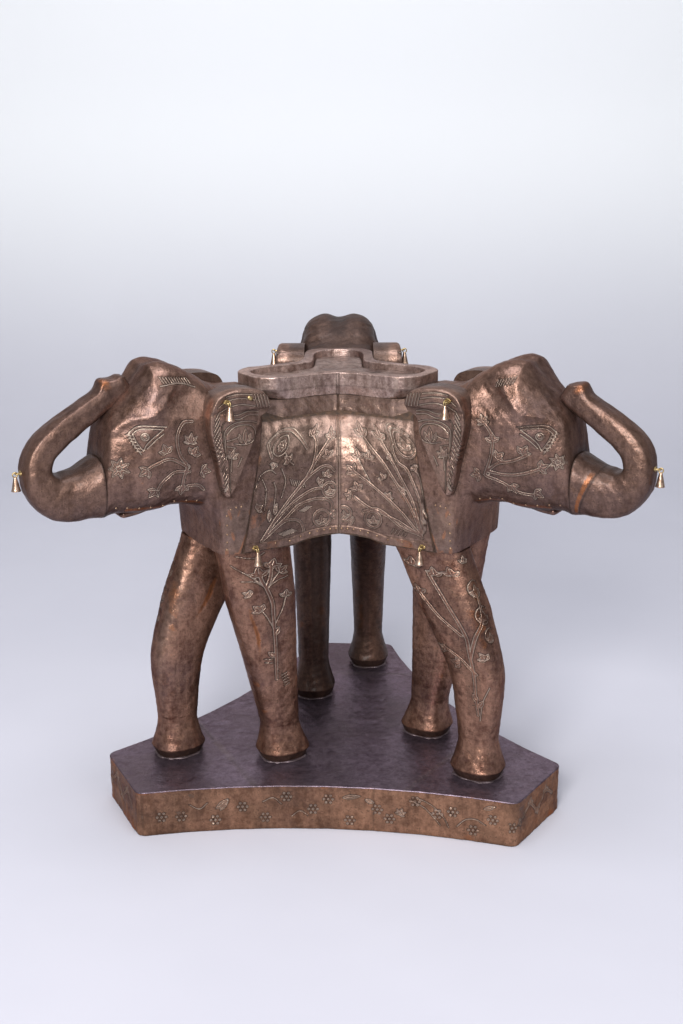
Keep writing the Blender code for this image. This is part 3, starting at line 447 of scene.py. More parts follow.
def even_turns(sides, width, height, power, weight=None):
    """Angles that cut a squared ring into equal steps, or into steps of equal weighted length."""
    fine = np.linspace(0, 2 * math.pi, 6001)
    across, up = squared(fine, power)
    steps = np.hypot(np.diff(across) * width, np.diff(up) * height)
    if weight is not None:
        steps = steps * weight(across[1:], up[1:])
    run = np.concatenate([[0], np.cumsum(steps)])
    return np.interp(np.arange(sides) / sides * run[-1], run, fine)


def bump(distance, width):
    """Soft hill: 1 at no distance, fading with the square of distance over width."""
    return np.exp(-(distance / width) ** 2)


def step_up(value, low, high):
    """0 below low, 1 above high and a smooth cubic between."""
    share = np.clip((value - low) / (high - low), 0, 1)
    return share * share * (3 - 2 * share)


print("a hill at half its width is", bump(0.5, 1.0).round(2), "high")

# %% [markdown]
# Hand-beaten sheet is never flat. A sum of sine waves in fixed random directions gives every piece the
# same kind of unevenness, without a seam and the same on every run.

# %% Hammered sheet
rng = np.random.default_rng(7)
WAVES = rng.normal(size=(14, 3)) * 330.0
PHASES = rng.uniform(0, 2 * math.pi, 14)


def hammered(points):
    """Uneven sheet: a fifth of the sum of fourteen sine waves in fixed directions, about -1 to 1."""
    return np.sin(points @ WAVES.T + PHASES).sum(-1) / 5.0


print("hammer marks about", round(2000 * math.pi / np.linalg.norm(WAVES, axis=1).mean()), "mm long")

# %% [markdown]
# The vines are chased: a blunt tool is hammered along a line and leaves a groove with a burnished edge.
# Each motif is drawn as a path on a flat sheet in millimetres, the way the maker draws it before chasing.
# From all paths together comes a table of distances to the nearest line, and the mesh then sinks where
# that distance is small.

# %% Drawing vines
INK_PITCH = 0.30
INK_REACH = 2.0
BEAD_STEP = 0.25
STEM_HALF = 1.05
SCRATCH_HALF = 0.22
VEIN_HALF = -0.14


def spin(degrees):
    """Matrix that turns flat row vectors anticlockwise."""
    angle = math.radians(degrees)
    return np.array([[math.cos(angle), math.sin(angle)], [-math.sin(angle), math.cos(angle)]])


def through(a, b, c, d, t):
    """Cubic from b to c at shares t of the way, whose slope at b joins a to c and at c joins b to d."""
    return b + 0.5 * t * (c - a + t * (2 * a - 5 * b + 4 * c - d + t * (3 * (b - c) + d - a)))


def stem(*points, steps=20):
    """Smooth path through points, made of such cubics."""
    p = np.asarray(points, float)
    p = np.vstack([2 * p[0] - p[1], p, 2 * p[-1] - p[-2]])
    t = np.linspace(0, 1, steps, endpoint=False)[None, :, None]
    path = through(*(p[shift:len(p) - 3 + shift, None] for shift in range(4)), t)
    return np.vstack([path.reshape(-1, 2), p[-2:-1]])


def run_along(path):
    """Length from the start of a path to each of its points."""
    return np.concatenate([[0], np.cumsum(np.linalg.norm(np.diff(path, axis=0), axis=1))])


def paced(path, step):
    """Points at equal steps along a path, and how far along it each one is."""
    run = run_along(path)
    at = np.arange(0, run[-1] + step, step)
    return np.column_stack([np.interp(at, run, path[:, 0]), np.interp(at, run, path[:, 1])]), at / run[-1]


def about(at, radius, turn):
    """Points at given radii and angles round a place."""
    return np.asarray(at) + np.asarray(radius)[..., None] * np.stack([np.cos(turn), np.sin(turn)], -1)


def disc(at, radius):
    """Circle as a closed path."""
    return about(at, radius, np.linspace(0, 2 * math.pi, 40))


print("paths are beaded every", BEAD_STEP, "mm")

# %% [markdown]
# The motifs are few: stems, single lines, leaves alone or in threes and fives, flowers, rings, ropes of
# slanting strokes and punched dots. Each one returns its paths, with half the width of the line that the
# tool leaves.

# %% Stems and leaves
def vine(*points):
    """Stem with two edges: a band either side of a smooth path."""
    return [(stem(*points), STEM_HALF)]


def scratch(*points):
    """One tooled line along a smooth path."""
    return [(stem(*points), SCRATCH_HALF)]


def ring(at, radius):
    """One tooled circle."""
    return [(disc(at, radius), SCRATCH_HALF)]


def band(at, radius):
    """Stem bent into a circle."""
    return [(disc(at, radius), STEM_HALF)]


def leaf(at, heading, length, belly=0.27):
    """Almond outline, whose half width is a sine of the way along it, with a mid vein cut into it."""
    t = np.linspace(0, 1, 16)
    side = belly * length * np.sin(math.pi * t ** 0.85)
    half = np.column_stack([t * length, side])
    outline = np.vstack([half, (half * [1, -1])[::-1]])
    vein = np.array([[0.22, 0], [0.74, 0]]) * length
    outline, vein = (np.asarray(at) + path @ spin(heading) for path in (outline, vein))
    return [(outline, 0.0), (vein, VEIN_HALF)]


def fan(at, heading, size, leans, shares, belly):
    """Leaves spread from one point."""
    leaves = [leaf(at, heading + lean, size * share, belly) for lean, share in zip(leans, shares)]
    return sum(leaves, [])


def trefoil(at, heading, size=8.0):
    """Three leaves."""
    return fan(at, heading, size, (-60, 60, 0), (0.86, 0.86, 1.0), 0.27)


def sprig(at, heading, size=8.0):
    """Five narrow leaves."""
    return fan(at, heading, size, (-84, 84, -42, 42, 0), (0.66, 0.66, 0.9, 0.9, 1.0), 0.19)


print("a trefoil has", len(trefoil((0, 0), 90)), "paths")

# %% [markdown]
# Flowers are petals round a middle. Ropes and hatching are rows of short strokes, and the small flowers
# on the plinth are rings of punched dots.

# %% Flowers, ropes and dots
def blossom(at, size, petals=7):
    """Narrow petals all the way round a ring."""
    turns = np.arange(petals) * 360 / petals
    return fan(at, 0, size, turns, np.ones(petals), 0.20) + [(disc(at, size * 0.24), VEIN_HALF)]


def rosette(at, radius, petals=7):
    """Flower: a radius that swells once a petal, and a ring in the middle."""
    turn = np.linspace(0, 2 * math.pi, 24 * petals)
    reach = radius * (0.52 + 0.48 * np.abs(np.cos(petals * turn / 2)) ** 0.7)
    return [(about(at, reach, turn), 0.0), (disc(at, radius * 0.30), VEIN_HALF)]


def hatch(start, end, count, heading, length):
    """Short parallel strokes set along a line."""
    share = np.linspace(0, 1, count)[:, None]
    places = np.asarray(start) * (1 - share) + np.asarray(end) * share
    stroke = np.array([[-0.5, 0], [0.5, 0]]) * length @ spin(heading)
    return [(place + stroke, SCRATCH_HALF * 0.7) for place in places]


def rope(points, widths, heading, step):
    """Slanting strokes along a smooth path, each about as long as the band is wide there."""
    places, share = paced(stem(*points), step)
    lengths = np.interp(share, np.linspace(0, 1, len(widths)), widths)
    stroke = np.array([[-0.55, 0], [0.55, 0]]) @ spin(heading)
    return [(place + stroke * length, SCRATCH_HALF) for place, length in zip(places, lengths)]


def dots(at, radius, count, size=1.15):
    """Ring of punched dots round one dot."""
    places = about(at, radius, full_turn(count))
    return [(disc(place, size), 0.0) for place in np.vstack([places, [at]])]


print("a flower of six dots has", len(dots((0, 0), 4.3, 6)), "paths")

# %% [markdown]
# A drawing becomes a table of signed distances: how far a place on the sheet lies from the edge of the
# nearest shape, with a minus sign inside it. A line drawn where that number is near zero stays thin and
# even on any mesh, because the number itself runs smoothly through zero there.

# %% From drawing to distance
def within(path, x, y):
    """Whether points lie inside a closed path: a level line from them crosses it an odd number of times."""
    ahead = np.roll(path, -1, 0)
    crosses = (path[:, 1] > y[..., None]) != (ahead[:, 1] > y[..., None])
    climb = np.where(ahead[:, 1] == path[:, 1], 1.0, ahead[:, 1] - path[:, 1])
    meets = path[:, 0] + (ahead[:, 0] - path[:, 0]) / climb * (y[..., None] - path[:, 1])
    return np.sum(crosses & (x[..., None] < meets), -1) % 2 == 1


def inked(shapes, low, high):
    """Signed distance table in mm. A shape is a path with half a width: bands add their inside, a width of
    nothing means a filled outline, and a width below nothing cuts a line into what lies under it."""
    low = np.asarray(low, float)
    size = ((np.asarray(high) - low) / INK_PITCH).astype(int) + 1
    reach = int(INK_REACH / INK_PITCH) + 1
    window = np.stack(np.meshgrid(*[np.arange(-reach, reach + 1)] * 2, indexing="ij"), -1).reshape(-1, 2)
    table = np.full(size, INK_REACH)
    for path, half in shapes:
        beads = paced(path, BEAD_STEP)[0]
        cells = np.round((beads - low) / INK_PITCH).astype(int)[:, None] + window
        away = np.linalg.norm(low + cells * INK_PITCH - beads[:, None], axis=-1)
        first = np.clip(cells.min((0, 1)), 0, size)
        last = np.clip(cells.max((0, 1)) + 1, 0, size)
        inside = np.all((cells >= first) & (cells < last), -1)
        edge = np.full(np.maximum(last - first, 0), INK_REACH)
        np.minimum.at(edge, tuple((cells[inside] - first).T), away[inside])
        part = table[first[0]:last[0], first[1]:last[1]]
        if half == 0:
            x, y = np.meshgrid(*(np.arange(a, b) * INK_PITCH for a, b in zip(first, last)), indexing="ij")
            edge = np.where(within(path, x + low[0], y + low[1]), -edge, edge)
        part[:] = np.maximum(part, -half - edge) if half < 0 else np.minimum(part, edge - half)
    return low, table


def read_ink(sheet, u, v):
    """Signed distance at points of a sheet, blended between the four cells around each."""
    low, table = sheet
    x = np.clip((u - low[0]) / INK_PITCH, 0, table.shape[0] - 1.001)
    y = np.clip((v - low[1]) / INK_PITCH, 0, table.shape[1] - 1.001)
    column = x.astype(int)
    row = y.astype(int)
    x = x - column
    y = y - row
    below = table[column, row] * (1 - x) + table[column + 1, row] * x
    above = table[column, row + 1] * (1 - x) + table[column + 1, row + 1] * x
    return below * (1 - y) + above * y


def drawn(line, where=1.0):
    """Signed distance as the share that the finishes read, plain where there is no drawing."""
    return 0.5 + np.where(where > 0.5, np.clip(line, -INK_REACH, INK_REACH), INK_REACH) / LINE_SPAN


def chased(line, depth=0.30, lift=0.22):
    """Relief in mm: a groove along every edge, with the shape inside it raised a little."""
    return -depth * bump(line, 0.45) + lift * step_up(-line, 0.3, 1.2)


print("a table cell is", INK_PITCH, "mm wide")

# %% [markdown]
# The head is one carved block from the neck joint to the trunk root. Seen from the side it has a top line
# (nape, domed crown, steep brow) and a bottom line (chest, throat, jaw); seen from above it has a half
# breadth. Three curves and a squared ring between them give the whole form, so the carving can be tuned
# curve by curve.

# %% Head form
NECK_RISE, CROWN_RISE, JAW_RISE, CHEST_UNDERCUT = 0.1515, 0.1850, 0.0470, 0.045
NECK_HALF, CROWN_HALF, TRUNK_ROOT_HALF = 0.0575, 0.0495, 0.0290
TRUNK_ROOT_LOW, TRUNK_ROOT_HIGH = 0.0415, 0.1000
DOME_GROOVE, TEMPLE_HOLLOW = 0.0058, 0.0060


def head_top(share):
    """Top line above the seat: stations along the head, heights between neck, crown and trunk root."""
    nape = CROWN_RISE - NECK_RISE
    brow = CROWN_RISE - TRUNK_ROOT_HIGH
    shares = [-0.5, -0.1, 0.07, 0.25, 0.42, 0.52, 0.59, 0.64, 0.72, 0.82, 0.90, 0.95, 1.0]
    climb = NECK_RISE + nape * np.array([-0.002 / nape, 0, 0.17, 0.59, 0.92, 1.0])
    fall = TRUNK_ROOT_HIGH + brow * np.array([0.98, 0.90, 0.76, 0.62, 0.50, 0.38, 0.0])
    return profile(shares, np.concatenate([climb, fall]), share)


def head_bottom(share):
    """Bottom line above the seat: an upright chest, then throat, jaw and the underside of the trunk root."""
    shares = [-0.5, 0.140, 0.165, 0.182, 0.200, 0.25, 0.48, 0.57, 0.75, 0.90, 1.0]
    chest = -CHEST_UNDERCUT * np.array([1, 1, 0.45])
    jaw = JAW_RISE * np.array([0.30, 0.72, 0.92, 1, 0.94, 0.91, 0.94])
    return profile(shares, np.concatenate([chest, jaw, [TRUNK_ROOT_LOW]]), share)


def head_half(share):
    """Half breadth: neck, crown and trunk root."""
    shares = [-0.5, 0.0, 0.20, 0.42, 0.60, 0.80, 1.0]
    nape = NECK_HALF * 0.25 + CROWN_HALF * 0.75 + 0.001
    cheek = CROWN_HALF * 0.45 + TRUNK_ROOT_HALF * 0.55
    widths = [NECK_HALF, NECK_HALF, nape, CROWN_HALF, CROWN_HALF * 0.95, cheek, TRUNK_ROOT_HALF]
    return profile(shares, widths, share)


def head_section(share, turn):
    """Side and height of the skin: a squared ring between the lines, less the groove between the two domes
    and the hollow of each temple, which are soft hills of distance."""
    across, up = squared(turn, 3.4 - 0.8 * np.maximum(share, 0))
    top, low, half = head_top(share), head_bottom(share), head_half(share)
    side = across * half
    height = (top + low) / 2 + up * (top - low) / 2
    groove = DOME_GROOVE * bump(share - 0.50, 0.20) * bump(side, 0.24 * half)
    height = height - groove * np.clip(up, 0, 1)
    hollow = TEMPLE_HOLLOW * bump(share - 0.40, 0.16) * bump(height - CROWN_RISE + 0.032, 0.013)
    return side - np.sign(side) * np.minimum(hollow, np.abs(side)), height


print("crown", head_top(0.52).round(4), "m above the seat")

# %% [markdown]
# The head's grid needs most of its points where most is drawn. Rows are closer where the throat turns
# into the chest, and points round a ring are twice as close on the cheeks as on the top. The chest's
# corners are rounded off by setting them back.

# %% Head grid
HEAD_ROWS, HEAD_SIDES = 200, 440
CHEST_ROUND, CHEST_SHARE, THROAT_LEVEL, THROAT_FADE = 0.004, 0.2, 0.046, 0.014
even_share = np.linspace(0, 1, 2001)
row_weight = 1 + 3 * bump(even_share - 0.26, 0.035)
head_rows = np.interp(np.linspace(0, 1, HEAD_ROWS), np.cumsum(row_weight) / row_weight.sum(), even_share)


def cheek_weight(across, up):
    """Whole steps on the cheeks and half steps on the top and under the jaw."""
    return np.where(np.abs(across) > 0.55, 1.0, 0.5)


head_turns = even_turns(HEAD_SIDES, 0.052, 0.085, 3.0, cheek_weight)
neck_height = np.maximum(head_section(np.zeros((1, 1)), head_turns)[1], 0)
neck_share = (GAP - NECK_SLOPE * neck_height) / HEAD_LENGTH
head_share = neck_share + (1 - neck_share) * head_rows[:, None]
head_side, head_height = head_section(head_share, head_turns)
chest_corner = (np.abs(head_side) / head_half(head_share)) ** 6 * np.clip(head_share / CHEST_SHARE, 0, 1) ** 2
chest_corner = chest_corner * step_up(THROAT_LEVEL - head_height, 0, THROAT_FADE)
head_ahead = BODY_ARM + head_share * HEAD_LENGTH - CHEST_ROUND * chest_corner
head_rings = np.stack([head_ahead, head_side, SEAT + np.maximum(head_height, GAP)], -1)
print("head grid", head_rings.shape)

# %% [markdown]
# Each cheek is a picture: an eye under doubled brows, a flower by the trunk and stems that end in leaves.
# The two cheeks of one elephant are not the same on the real table, so there are two drawings, both in
# millimetres ahead of the neck joint and above the body's seat.

# %% Head chasing
def eye_shapes(at):
    """Three-cornered lids, a line round them, lashes in front and a pupil in a ring, round a point."""
    x, z = at
    lashes = hatch((x + 13, z + 2), (x + 6, z - 13), 6, 15, 4.5)
    lids = [*scratch((x + 10, z + 3), (x + 4, z + 7), (x - 6, z + 7), (x - 16, z + 6)),
            *scratch((x + 10, z + 3), (x + 7, z - 5), (x + 2, z - 13)),
            *scratch((x - 16, z + 6), (x - 7, z - 1), (x - 1, z - 7), (x + 2, z - 13))]
    line = [*scratch((x + 13, z + 4), (x + 5, z + 9.5), (x - 7, z + 9.5), (x - 19, z + 8)),
            *scratch((x + 13, z + 4), (x + 10, z - 6), (x + 4, z - 16)),
            *scratch((x - 16, z + 2), (x - 8, z - 4), (x - 1, z - 11))]
    return lids + line + lashes + ring(at, 3.2) + [(disc(at, 1.6), 0.0)]


LEFT_EYE = (86, 121)
RIGHT_EYE = (94, 119)
LEFT_CHEEK = [
    *eye_shapes(LEFT_EYE), *vine((49, 90), (65, 99), (79, 95), (84, 92)),
    *vine((47, 85), (61, 86), (72, 78), (76, 71)),
    *vine((50, 93), (56, 102), (58, 118), (52, 131), (43, 132)), *vine((48, 71), (39, 71), (33, 66)),
    *vine((49, 90), (52, 80), (53, 71)), *trefoil((68, 105), 70, 9), *trefoil((85, 90), -35, 9),
    *trefoil((78, 70), -50, 9), *trefoil((53, 71), -85, 9), *trefoil((44, 101), 125, 9),
    *trefoil((36, 85), 190, 9), *sprig((46, 112), 100, 10), *blossom((109, 93), 10), *ring((49, 90), 2.2),
    *hatch((40, 167), (66, 170), 11, 65, 6), *scratch((34, 161), (50, 166), (68, 165)),
]
RIGHT_CHEEK = [
    *eye_shapes(RIGHT_EYE), *vine((48, 84), (58, 92), (72, 96), (83, 101)),
    *vine((48, 84), (64, 82), (80, 84), (97, 90)), *vine((46, 80), (52, 100), (52, 118), (44, 130)),
    *vine((47, 79), (62, 74), (76, 66), (92, 63)), *trefoil((53, 112), 95, 9), *trefoil((57, 97), 40, 9),
    *trefoil((80, 103), 60, 9), *trefoil((95, 90), 20, 9), *trefoil((70, 72), -60, 9),
    *trefoil((90, 66), -30, 9), *trefoil((41, 80), 190, 9), *sprig((44, 128), 110, 9),
    *blossom((110, 96), 8), *ring((48, 82), 2.2), *hatch((52, 164), (68, 168), 7, 70, 7),
]
cheeks = [inked(shapes, (0, 0), (125, 190)) for shapes in (LEFT_CHEEK, RIGHT_CHEEK)]
head_mm = (head_rings - [BODY_ARM, 0, SEAT]) * 1000
head_x, head_z = head_mm[..., 0], head_mm[..., 2]
is_left = head_side > 0
cheek_line = np.where(is_left, read_ink(cheeks[0], head_x, head_z), read_ink(cheeks[1], head_x, head_z))
head_normal = outward(head_rings)
on_cheek = step_up(np.abs(head_normal[..., 1]), 0.30, 0.62)
print("cheek drawings cover", int((cheek_line < 0).sum()), "points")

# %% [markdown]
# The sheet is also beaten over the carving: the brow and the eye stand out, the joint to the trunk is a
# groove, and everywhere it is slightly hammered. Dirt settles along the joints, painted shade darkens the
# underside of the jaw and a line beside the ear's edge, and the shoulder is painted paler as light. Hands
# and cloth have rubbed the crown, the brow and the jaw's hem, and rust-coloured patches show on the
# shoulders. The rear elephant stands in the shade of the others, and is painted darker for that shade and
# for more dirt.

# %% Head skin
def away_from(path, u, v):
    """Distance from points of a sheet to the nearest point of a path."""
    return np.min(np.hypot(u[..., None] - path[:, 0], v[..., None] - path[:, 1]), -1)


eye_at = np.where(is_left[..., None], LEFT_EYE, RIGHT_EYE)
eye_away = np.hypot(head_x - eye_at[..., 0], head_z - eye_at[..., 1])
BROW_PATH = stem((58, 160), (70, 146), (82, 138), (98, 135), (112, 126), steps=10)
JAW_HEM_PATH = stem((20, 30), (24, 42), (34, 50), (52, 52), (74, 50), (100, 50), steps=8)
EAR_EDGE_PATH = stem((22, 152), (33, 127), (27, 96), (19, 61), (10, 66), (-4, 90), (-15, 118), steps=8)
head_paths = (BROW_PATH, JAW_HEM_PATH, EAR_EDGE_PATH)
brow_away, jaw_hem, ear_edge = (away_from(path, head_x, head_z) for path in head_paths)
root_away = (1 - (head_share - neck_share) / (1 - neck_share)) * HEAD_LENGTH * 1000
neck_away = (head_share - neck_share) * HEAD_LENGTH * 1000
eye_ball = 0.9 * bump(eye_away, 7) + 0.7 * bump(eye_away, 2.6)
head_relief = chased(cheek_line) + eye_ball + 1.2 * bump(brow_away, 4)
head_relief = head_relief * on_cheek + 0.30 * hammered(head_rings) - 0.5 * bump(root_away, 0.8)
head_rings = head_rings + head_normal * head_relief[..., None] * 0.001
head_rings[..., 2] = np.maximum(head_rings[..., 2], SEAT + GAP)
# painted shade on the faces that look down, from the throat forward
shade_under_jaw = step_up(-head_normal[..., 2], 0.25, 0.9) * step_up(head_x, 20, 34)
patchy = step_up(hammered(head_rings * 0.5), 0.1, 0.9)
shoulder = step_up(58 - head_z, 0, 20) * step_up(20 - head_x, 0, 6) * on_cheek
rusty = np.sin(head_z / 4.6 + 2 * np.sin(head_x / 3.1)) * np.sin(head_x / 3.4 + head_z / 9)
rusty = step_up(rusty, 0.05, 0.75)
head_marks = {
    "vine": drawn(cheek_line, on_cheek),
    # painted light: the shoulder is paler
    "chase": 0.22 * shoulder,
    "bare": (0.80 * bump(jaw_hem, 3.0) + 0.55 * rusty * shoulder + 0.22 * bump(brow_away, 3)) * on_cheek
    + 0.20 * bump(head_z - 184, 8) + 0.15 * patchy,
    # soot: dark joints, painted shade under the jaw and beside the ear's edge, a ring round the eye, a darker
    # front and a dark crown groove
    "soot": 0.9 * bump(neck_away, 1.0) + 0.75 * bump(root_away, 0.8) + 0.45 * shade_under_jaw
    + (0.75 * bump(ear_edge, 1.6) + 0.30 * bump(eye_away - 5.2, 1.2)) * on_cheek
    + 0.14 * step_up(head_x, 55, 95) + 0.55 * bump(head_side, 0.006) * bump(head_z - 176, 9),
}
# painted shade and dirt: how much darker the rear elephant's head and legs are painted
REAR_SHADE_AND_SOOT = 0.85
on_elephants("head_sheet", head_rings, HIDE, head_marks, "head", rear_soot=REAR_SHADE_AND_SOOT)
print("heads of", head_rings.shape[0], "rings")

# %% [markdown]
# Under the jaw hangs a small flat lip of sheet. It is a short bar with a squared section that widens and
# drops towards its tip, so it is a profile carried along a straight path.

# %% Lower lip
LIP_LENGTH, LIP_HALF, LIP_DROP = 0.026, 0.013, 0.0036
lip_share = np.linspace(0, 1, 24)[:, None]
lip_across, lip_up = squared(full_turn(48)[None], 4)
lip_end = np.sqrt(np.clip(1 - ((lip_share - 0.86) / 0.14).clip(0, 1) ** 2, 0.02, 1))
lip_half = LIP_HALF * (0.75 + 0.25 * lip_share) * (0.6 + 0.4 * lip_end)
lip_level = SEAT + head_bottom(0.80) + LIP_DROP * (0.6 - profile([0, 0.45, 1], [0.2, 0.75, 1.0], lip_share))
lip_rings = np.stack([BODY_ARM + HEAD_LENGTH * 0.85 - LIP_LENGTH * (1 - lip_share) + 0 * lip_across,
                      lip_across * lip_half, lip_level + lip_up * LIP_DROP * 0.9 * lip_end], -1)
on_elephants("lower_lip", lip_rings, HIDE, {"bare": 0.35})
print("lips", lip_rings.shape)

# %% [markdown]
# The trunk is a squared section carried along a curling path. Its direction starts a little below level
# and turns up and back through most of a half circle; adding up small steps in that direction gives the
# path. A curve with a bevel could carry a section too, but only one shape of it from root to tip. A lump
# near the tip is the finger, and ridges run where the flat outer face meets the sides.

# %% Trunk path
TRUNK_LENGTH, LONG_TRUNK_LENGTH = 0.172, 0.1909
TRUNK_DIP, TRUNK_CURL = math.radians(-18.5), math.radians(160.0)
TRUNK_CURL_START, TRUNK_CURL_END = 0.005, 0.651 * TRUNK_LENGTH
TRUNK_OVER, TRUNK_OVER_START, TRUNK_OVER_END = math.radians(7.0), 0.075, 0.140
TRUNK_BEND_THICK, TRUNK_TIP_THICK, TRUNK_BEND_HALF, TRUNK_TIP_HALF = 0.0133, 0.0104, 0.0175, 0.0120
TRUNK_FINGER, TRUNK_FINGER_BACK, LONG_TRUNK_FINGER_BACK = 0.0062, 0.012, 0.019


def trunk_heading(along):
    """Radians above straight ahead: a quick dip, a smooth step up through the curl, and a last one over."""
    dip = TRUNK_DIP * np.clip(along / TRUNK_CURL_START, 0, 1)
    curl = TRUNK_CURL * step_up(along, TRUNK_CURL_START, TRUNK_CURL_END)
    return dip + curl + TRUNK_OVER * step_up(along, TRUNK_OVER_START, TRUNK_OVER_END)


def trunk_path(lengths):
    """Centre line: the running sum of the heading's cosine and sine over small steps."""
    fine = np.linspace(0, LONG_TRUNK_LENGTH, 721)
    heading = trunk_heading(fine)
    step = fine[1] - fine[0]
    ways = (np.cos(heading), np.sin(heading))
    ahead, rise = (np.concatenate([[0], np.cumsum((way[1:] + way[:-1]) / 2 * step)]) for way in ways)
    middle = SEAT + (TRUNK_ROOT_LOW + TRUNK_ROOT_HIGH) / 2
    return BODY_ARM + HEAD_LENGTH + np.interp(lengths, fine, ahead), middle + np.interp(lengths, fine, rise)


def trunk_sizes(lengths):
    """Half thickness in the plane of the curl and half breadth, tapering from the root to the tip."""
    share = np.minimum(lengths / TRUNK_LENGTH, 1.0)
    root = (TRUNK_ROOT_HIGH - TRUNK_ROOT_LOW) / 2
    bend = TRUNK_BEND_THICK
    thick = profile([0, 0.10, 0.20, 0.32, 0.42, 0.60, 1.0],
                    [root, root * 0.82, root * 0.78, root * 0.59, bend, bend * 0.95, TRUNK_TIP_THICK], share)
    half = profile([0, 0.20, 0.42, 1.0], [TRUNK_ROOT_HALF, TRUNK_ROOT_HALF * 0.3 + TRUNK_BEND_HALF * 0.7,
                                          TRUNK_BEND_HALF, TRUNK_TIP_HALF], share)
    return thick, half


print("trunk tips at", [np.round(trunk_path(one), 3) for one in (TRUNK_LENGTH, LONG_TRUNK_LENGTH)])

# %% [markdown]
# The left elephant's trunk runs on almost to its crown; the other two stop sooner. Along the outer face
# two soft ridges mark where the sheet was bent over the wood. The bend is rubbed bright, the finger is
# bare copper, and on the right elephant a strip of newer copper patches the root.

# %% Trunk skin
TRUNK_ROWS, TRUNK_SIDES, TIP_BACK, TIP_ROUND = 180, 150, 0.006, 0.0062


def trunk_skin(length, finger_back, patch):
    """Rings and marks of a trunk: the section turned square to the path, plus finger, ridges and wrinkles."""
    along = np.linspace(GAP, length, TRUNK_ROWS)
    past_tip = ((along - length + TIP_BACK) / TIP_ROUND).clip(0, 1)
    tip = (0.45 + 0.55 * np.sqrt(np.clip(1 - past_tip ** 2, 0.2, 1)))[:, None]
    turns = even_turns(TRUNK_SIDES, 0.017, 0.014, 3.0)
    thick, half = (one[:, None] for one in trunk_sizes(along))
    across, out = squared(turns, 2.6 + 0.6 * step_up(along, 0.02, 0.07)[:, None])
    finger = TRUNK_FINGER * bump(along - length + finger_back, 0.007)[:, None]
    reach = (out * thick + np.clip(out, 0, 1) * finger) * tip
    tilt = (trunk_heading(along) * step_up(along, 0, 0.026))[:, None]
    x, z = (line[:, None] for line in trunk_path(along))
    rings = np.stack([x + np.sin(tilt) * reach, across * half * tip, z - np.cos(tilt) * reach], -1)
    mm = along[:, None] * 1000
    end = length * 1000
    ridge = bump(np.abs(turns % math.pi - math.pi / 2) - 0.82, 0.20) * step_up(out, 0.2, 0.6)
    wrinkle = np.sin(mm / 3.4 + 0.8 * np.sin(turns * 2)) * step_up(-out, 0.2, 0.7)
    wrinkle = wrinkle * step_up(mm, 40, 60) * step_up(end - 22 - mm, 0, 25)
    seam = bump(mm, 0.8)
    strip = patch * step_up(2.8 - np.abs(mm - 11 + 6 * out), 0, 1) * step_up(np.abs(across), 0.5, 0.8)
    relief = 0.45 * ridge * step_up(mm, 8, 40) - 0.20 * wrinkle + 0.32 * hammered(rings)
    relief = relief - 0.5 * seam + 0.3 * strip
    rings = beaten(rings, relief)
    rubbed = bump(mm - 70, 34) * step_up(out, -0.1, 0.9)
    marks = {
        "bare": 0.12 * ridge * step_up(mm, 30, 60) + 0.50 * finger / TRUNK_FINGER * step_up(out, -0.2, 0.6)
        + 0.20 * rubbed + 0.6 * strip,
        "soot": 0.38 + 0.8 * seam + 0.40 * step_up(-out, 0.4, 0.9) * step_up(130 - mm, 0, 30)
        + 0.7 * step_up(mm, end - 1.5, end) + patch * 0.9 * bump(mm - 14.6 + 6 * out, 0.7),
    }
    return rings, marks


TRUNKS = {
    "rear": (TRUNK_LENGTH, TRUNK_FINGER_BACK, 0),
    "left": (LONG_TRUNK_LENGTH, LONG_TRUNK_FINGER_BACK, 0),
    "right": (TRUNK_LENGTH, TRUNK_FINGER_BACK, 1),
}
for elephant, angle in ELEPHANTS.items():
    trunk_rings, trunk_marks = trunk_skin(*TRUNKS[elephant])
    skin(f"{elephant}_trunk_sheet", turned(trunk_rings, angle), HIDE, trunk_marks,
         stands_for=[f"{elephant}_elephant_trunk"])
print("trunks of", trunk_rings.shape[0], "rings")

# %% [markdown]
# The ears are thick plates with a raised border and a sunk field, broad and scrolled at the top and
# pointed below. An outline shrunk towards its middle gives the rows: the first rows climb the edge, the
# next make the border with its rope pattern, and the rest fill the field. They stop inside the head, so
# no gap shows.

# %% Ear outline
EAR_LENGTH, EAR_HEIGHT, EAR_BACK, EAR_TOP_RISE = 52.0, 98.0, -19.5, 158.5
EAR_FACE, EAR_ROOT, EAR_EDGE = 66.0, 38.0, 3.0
EAR_SIDES, EAR_MIDDLE = 250, np.array([2.0, 122.0])
EAR_CORNERS = np.array([
    (-0.06, 0.96), (0.20, 1.0), (0.55, 1.0), (0.90, 0.92), (1.0, 0.68), (0.88, 0.36), (0.74, 0.02),
    (0.60, 0.03), (0.34, 0.30), (0.12, 0.56), (0.06, 0.715), (-0.14, 0.79), (-0.17, 0.87),
])


def closed_path(corners, count):
    """Smooth closed path: on each span the cubic whose end slopes join the corners on either side."""
    turn = np.arange(count) * len(corners) / count
    span = turn.astype(int)
    a, b, c, d = (corners[(span + shift) % len(corners)] for shift in (-1, 0, 1, 2))
    return through(a, b, c, d, (turn - span)[:, None])


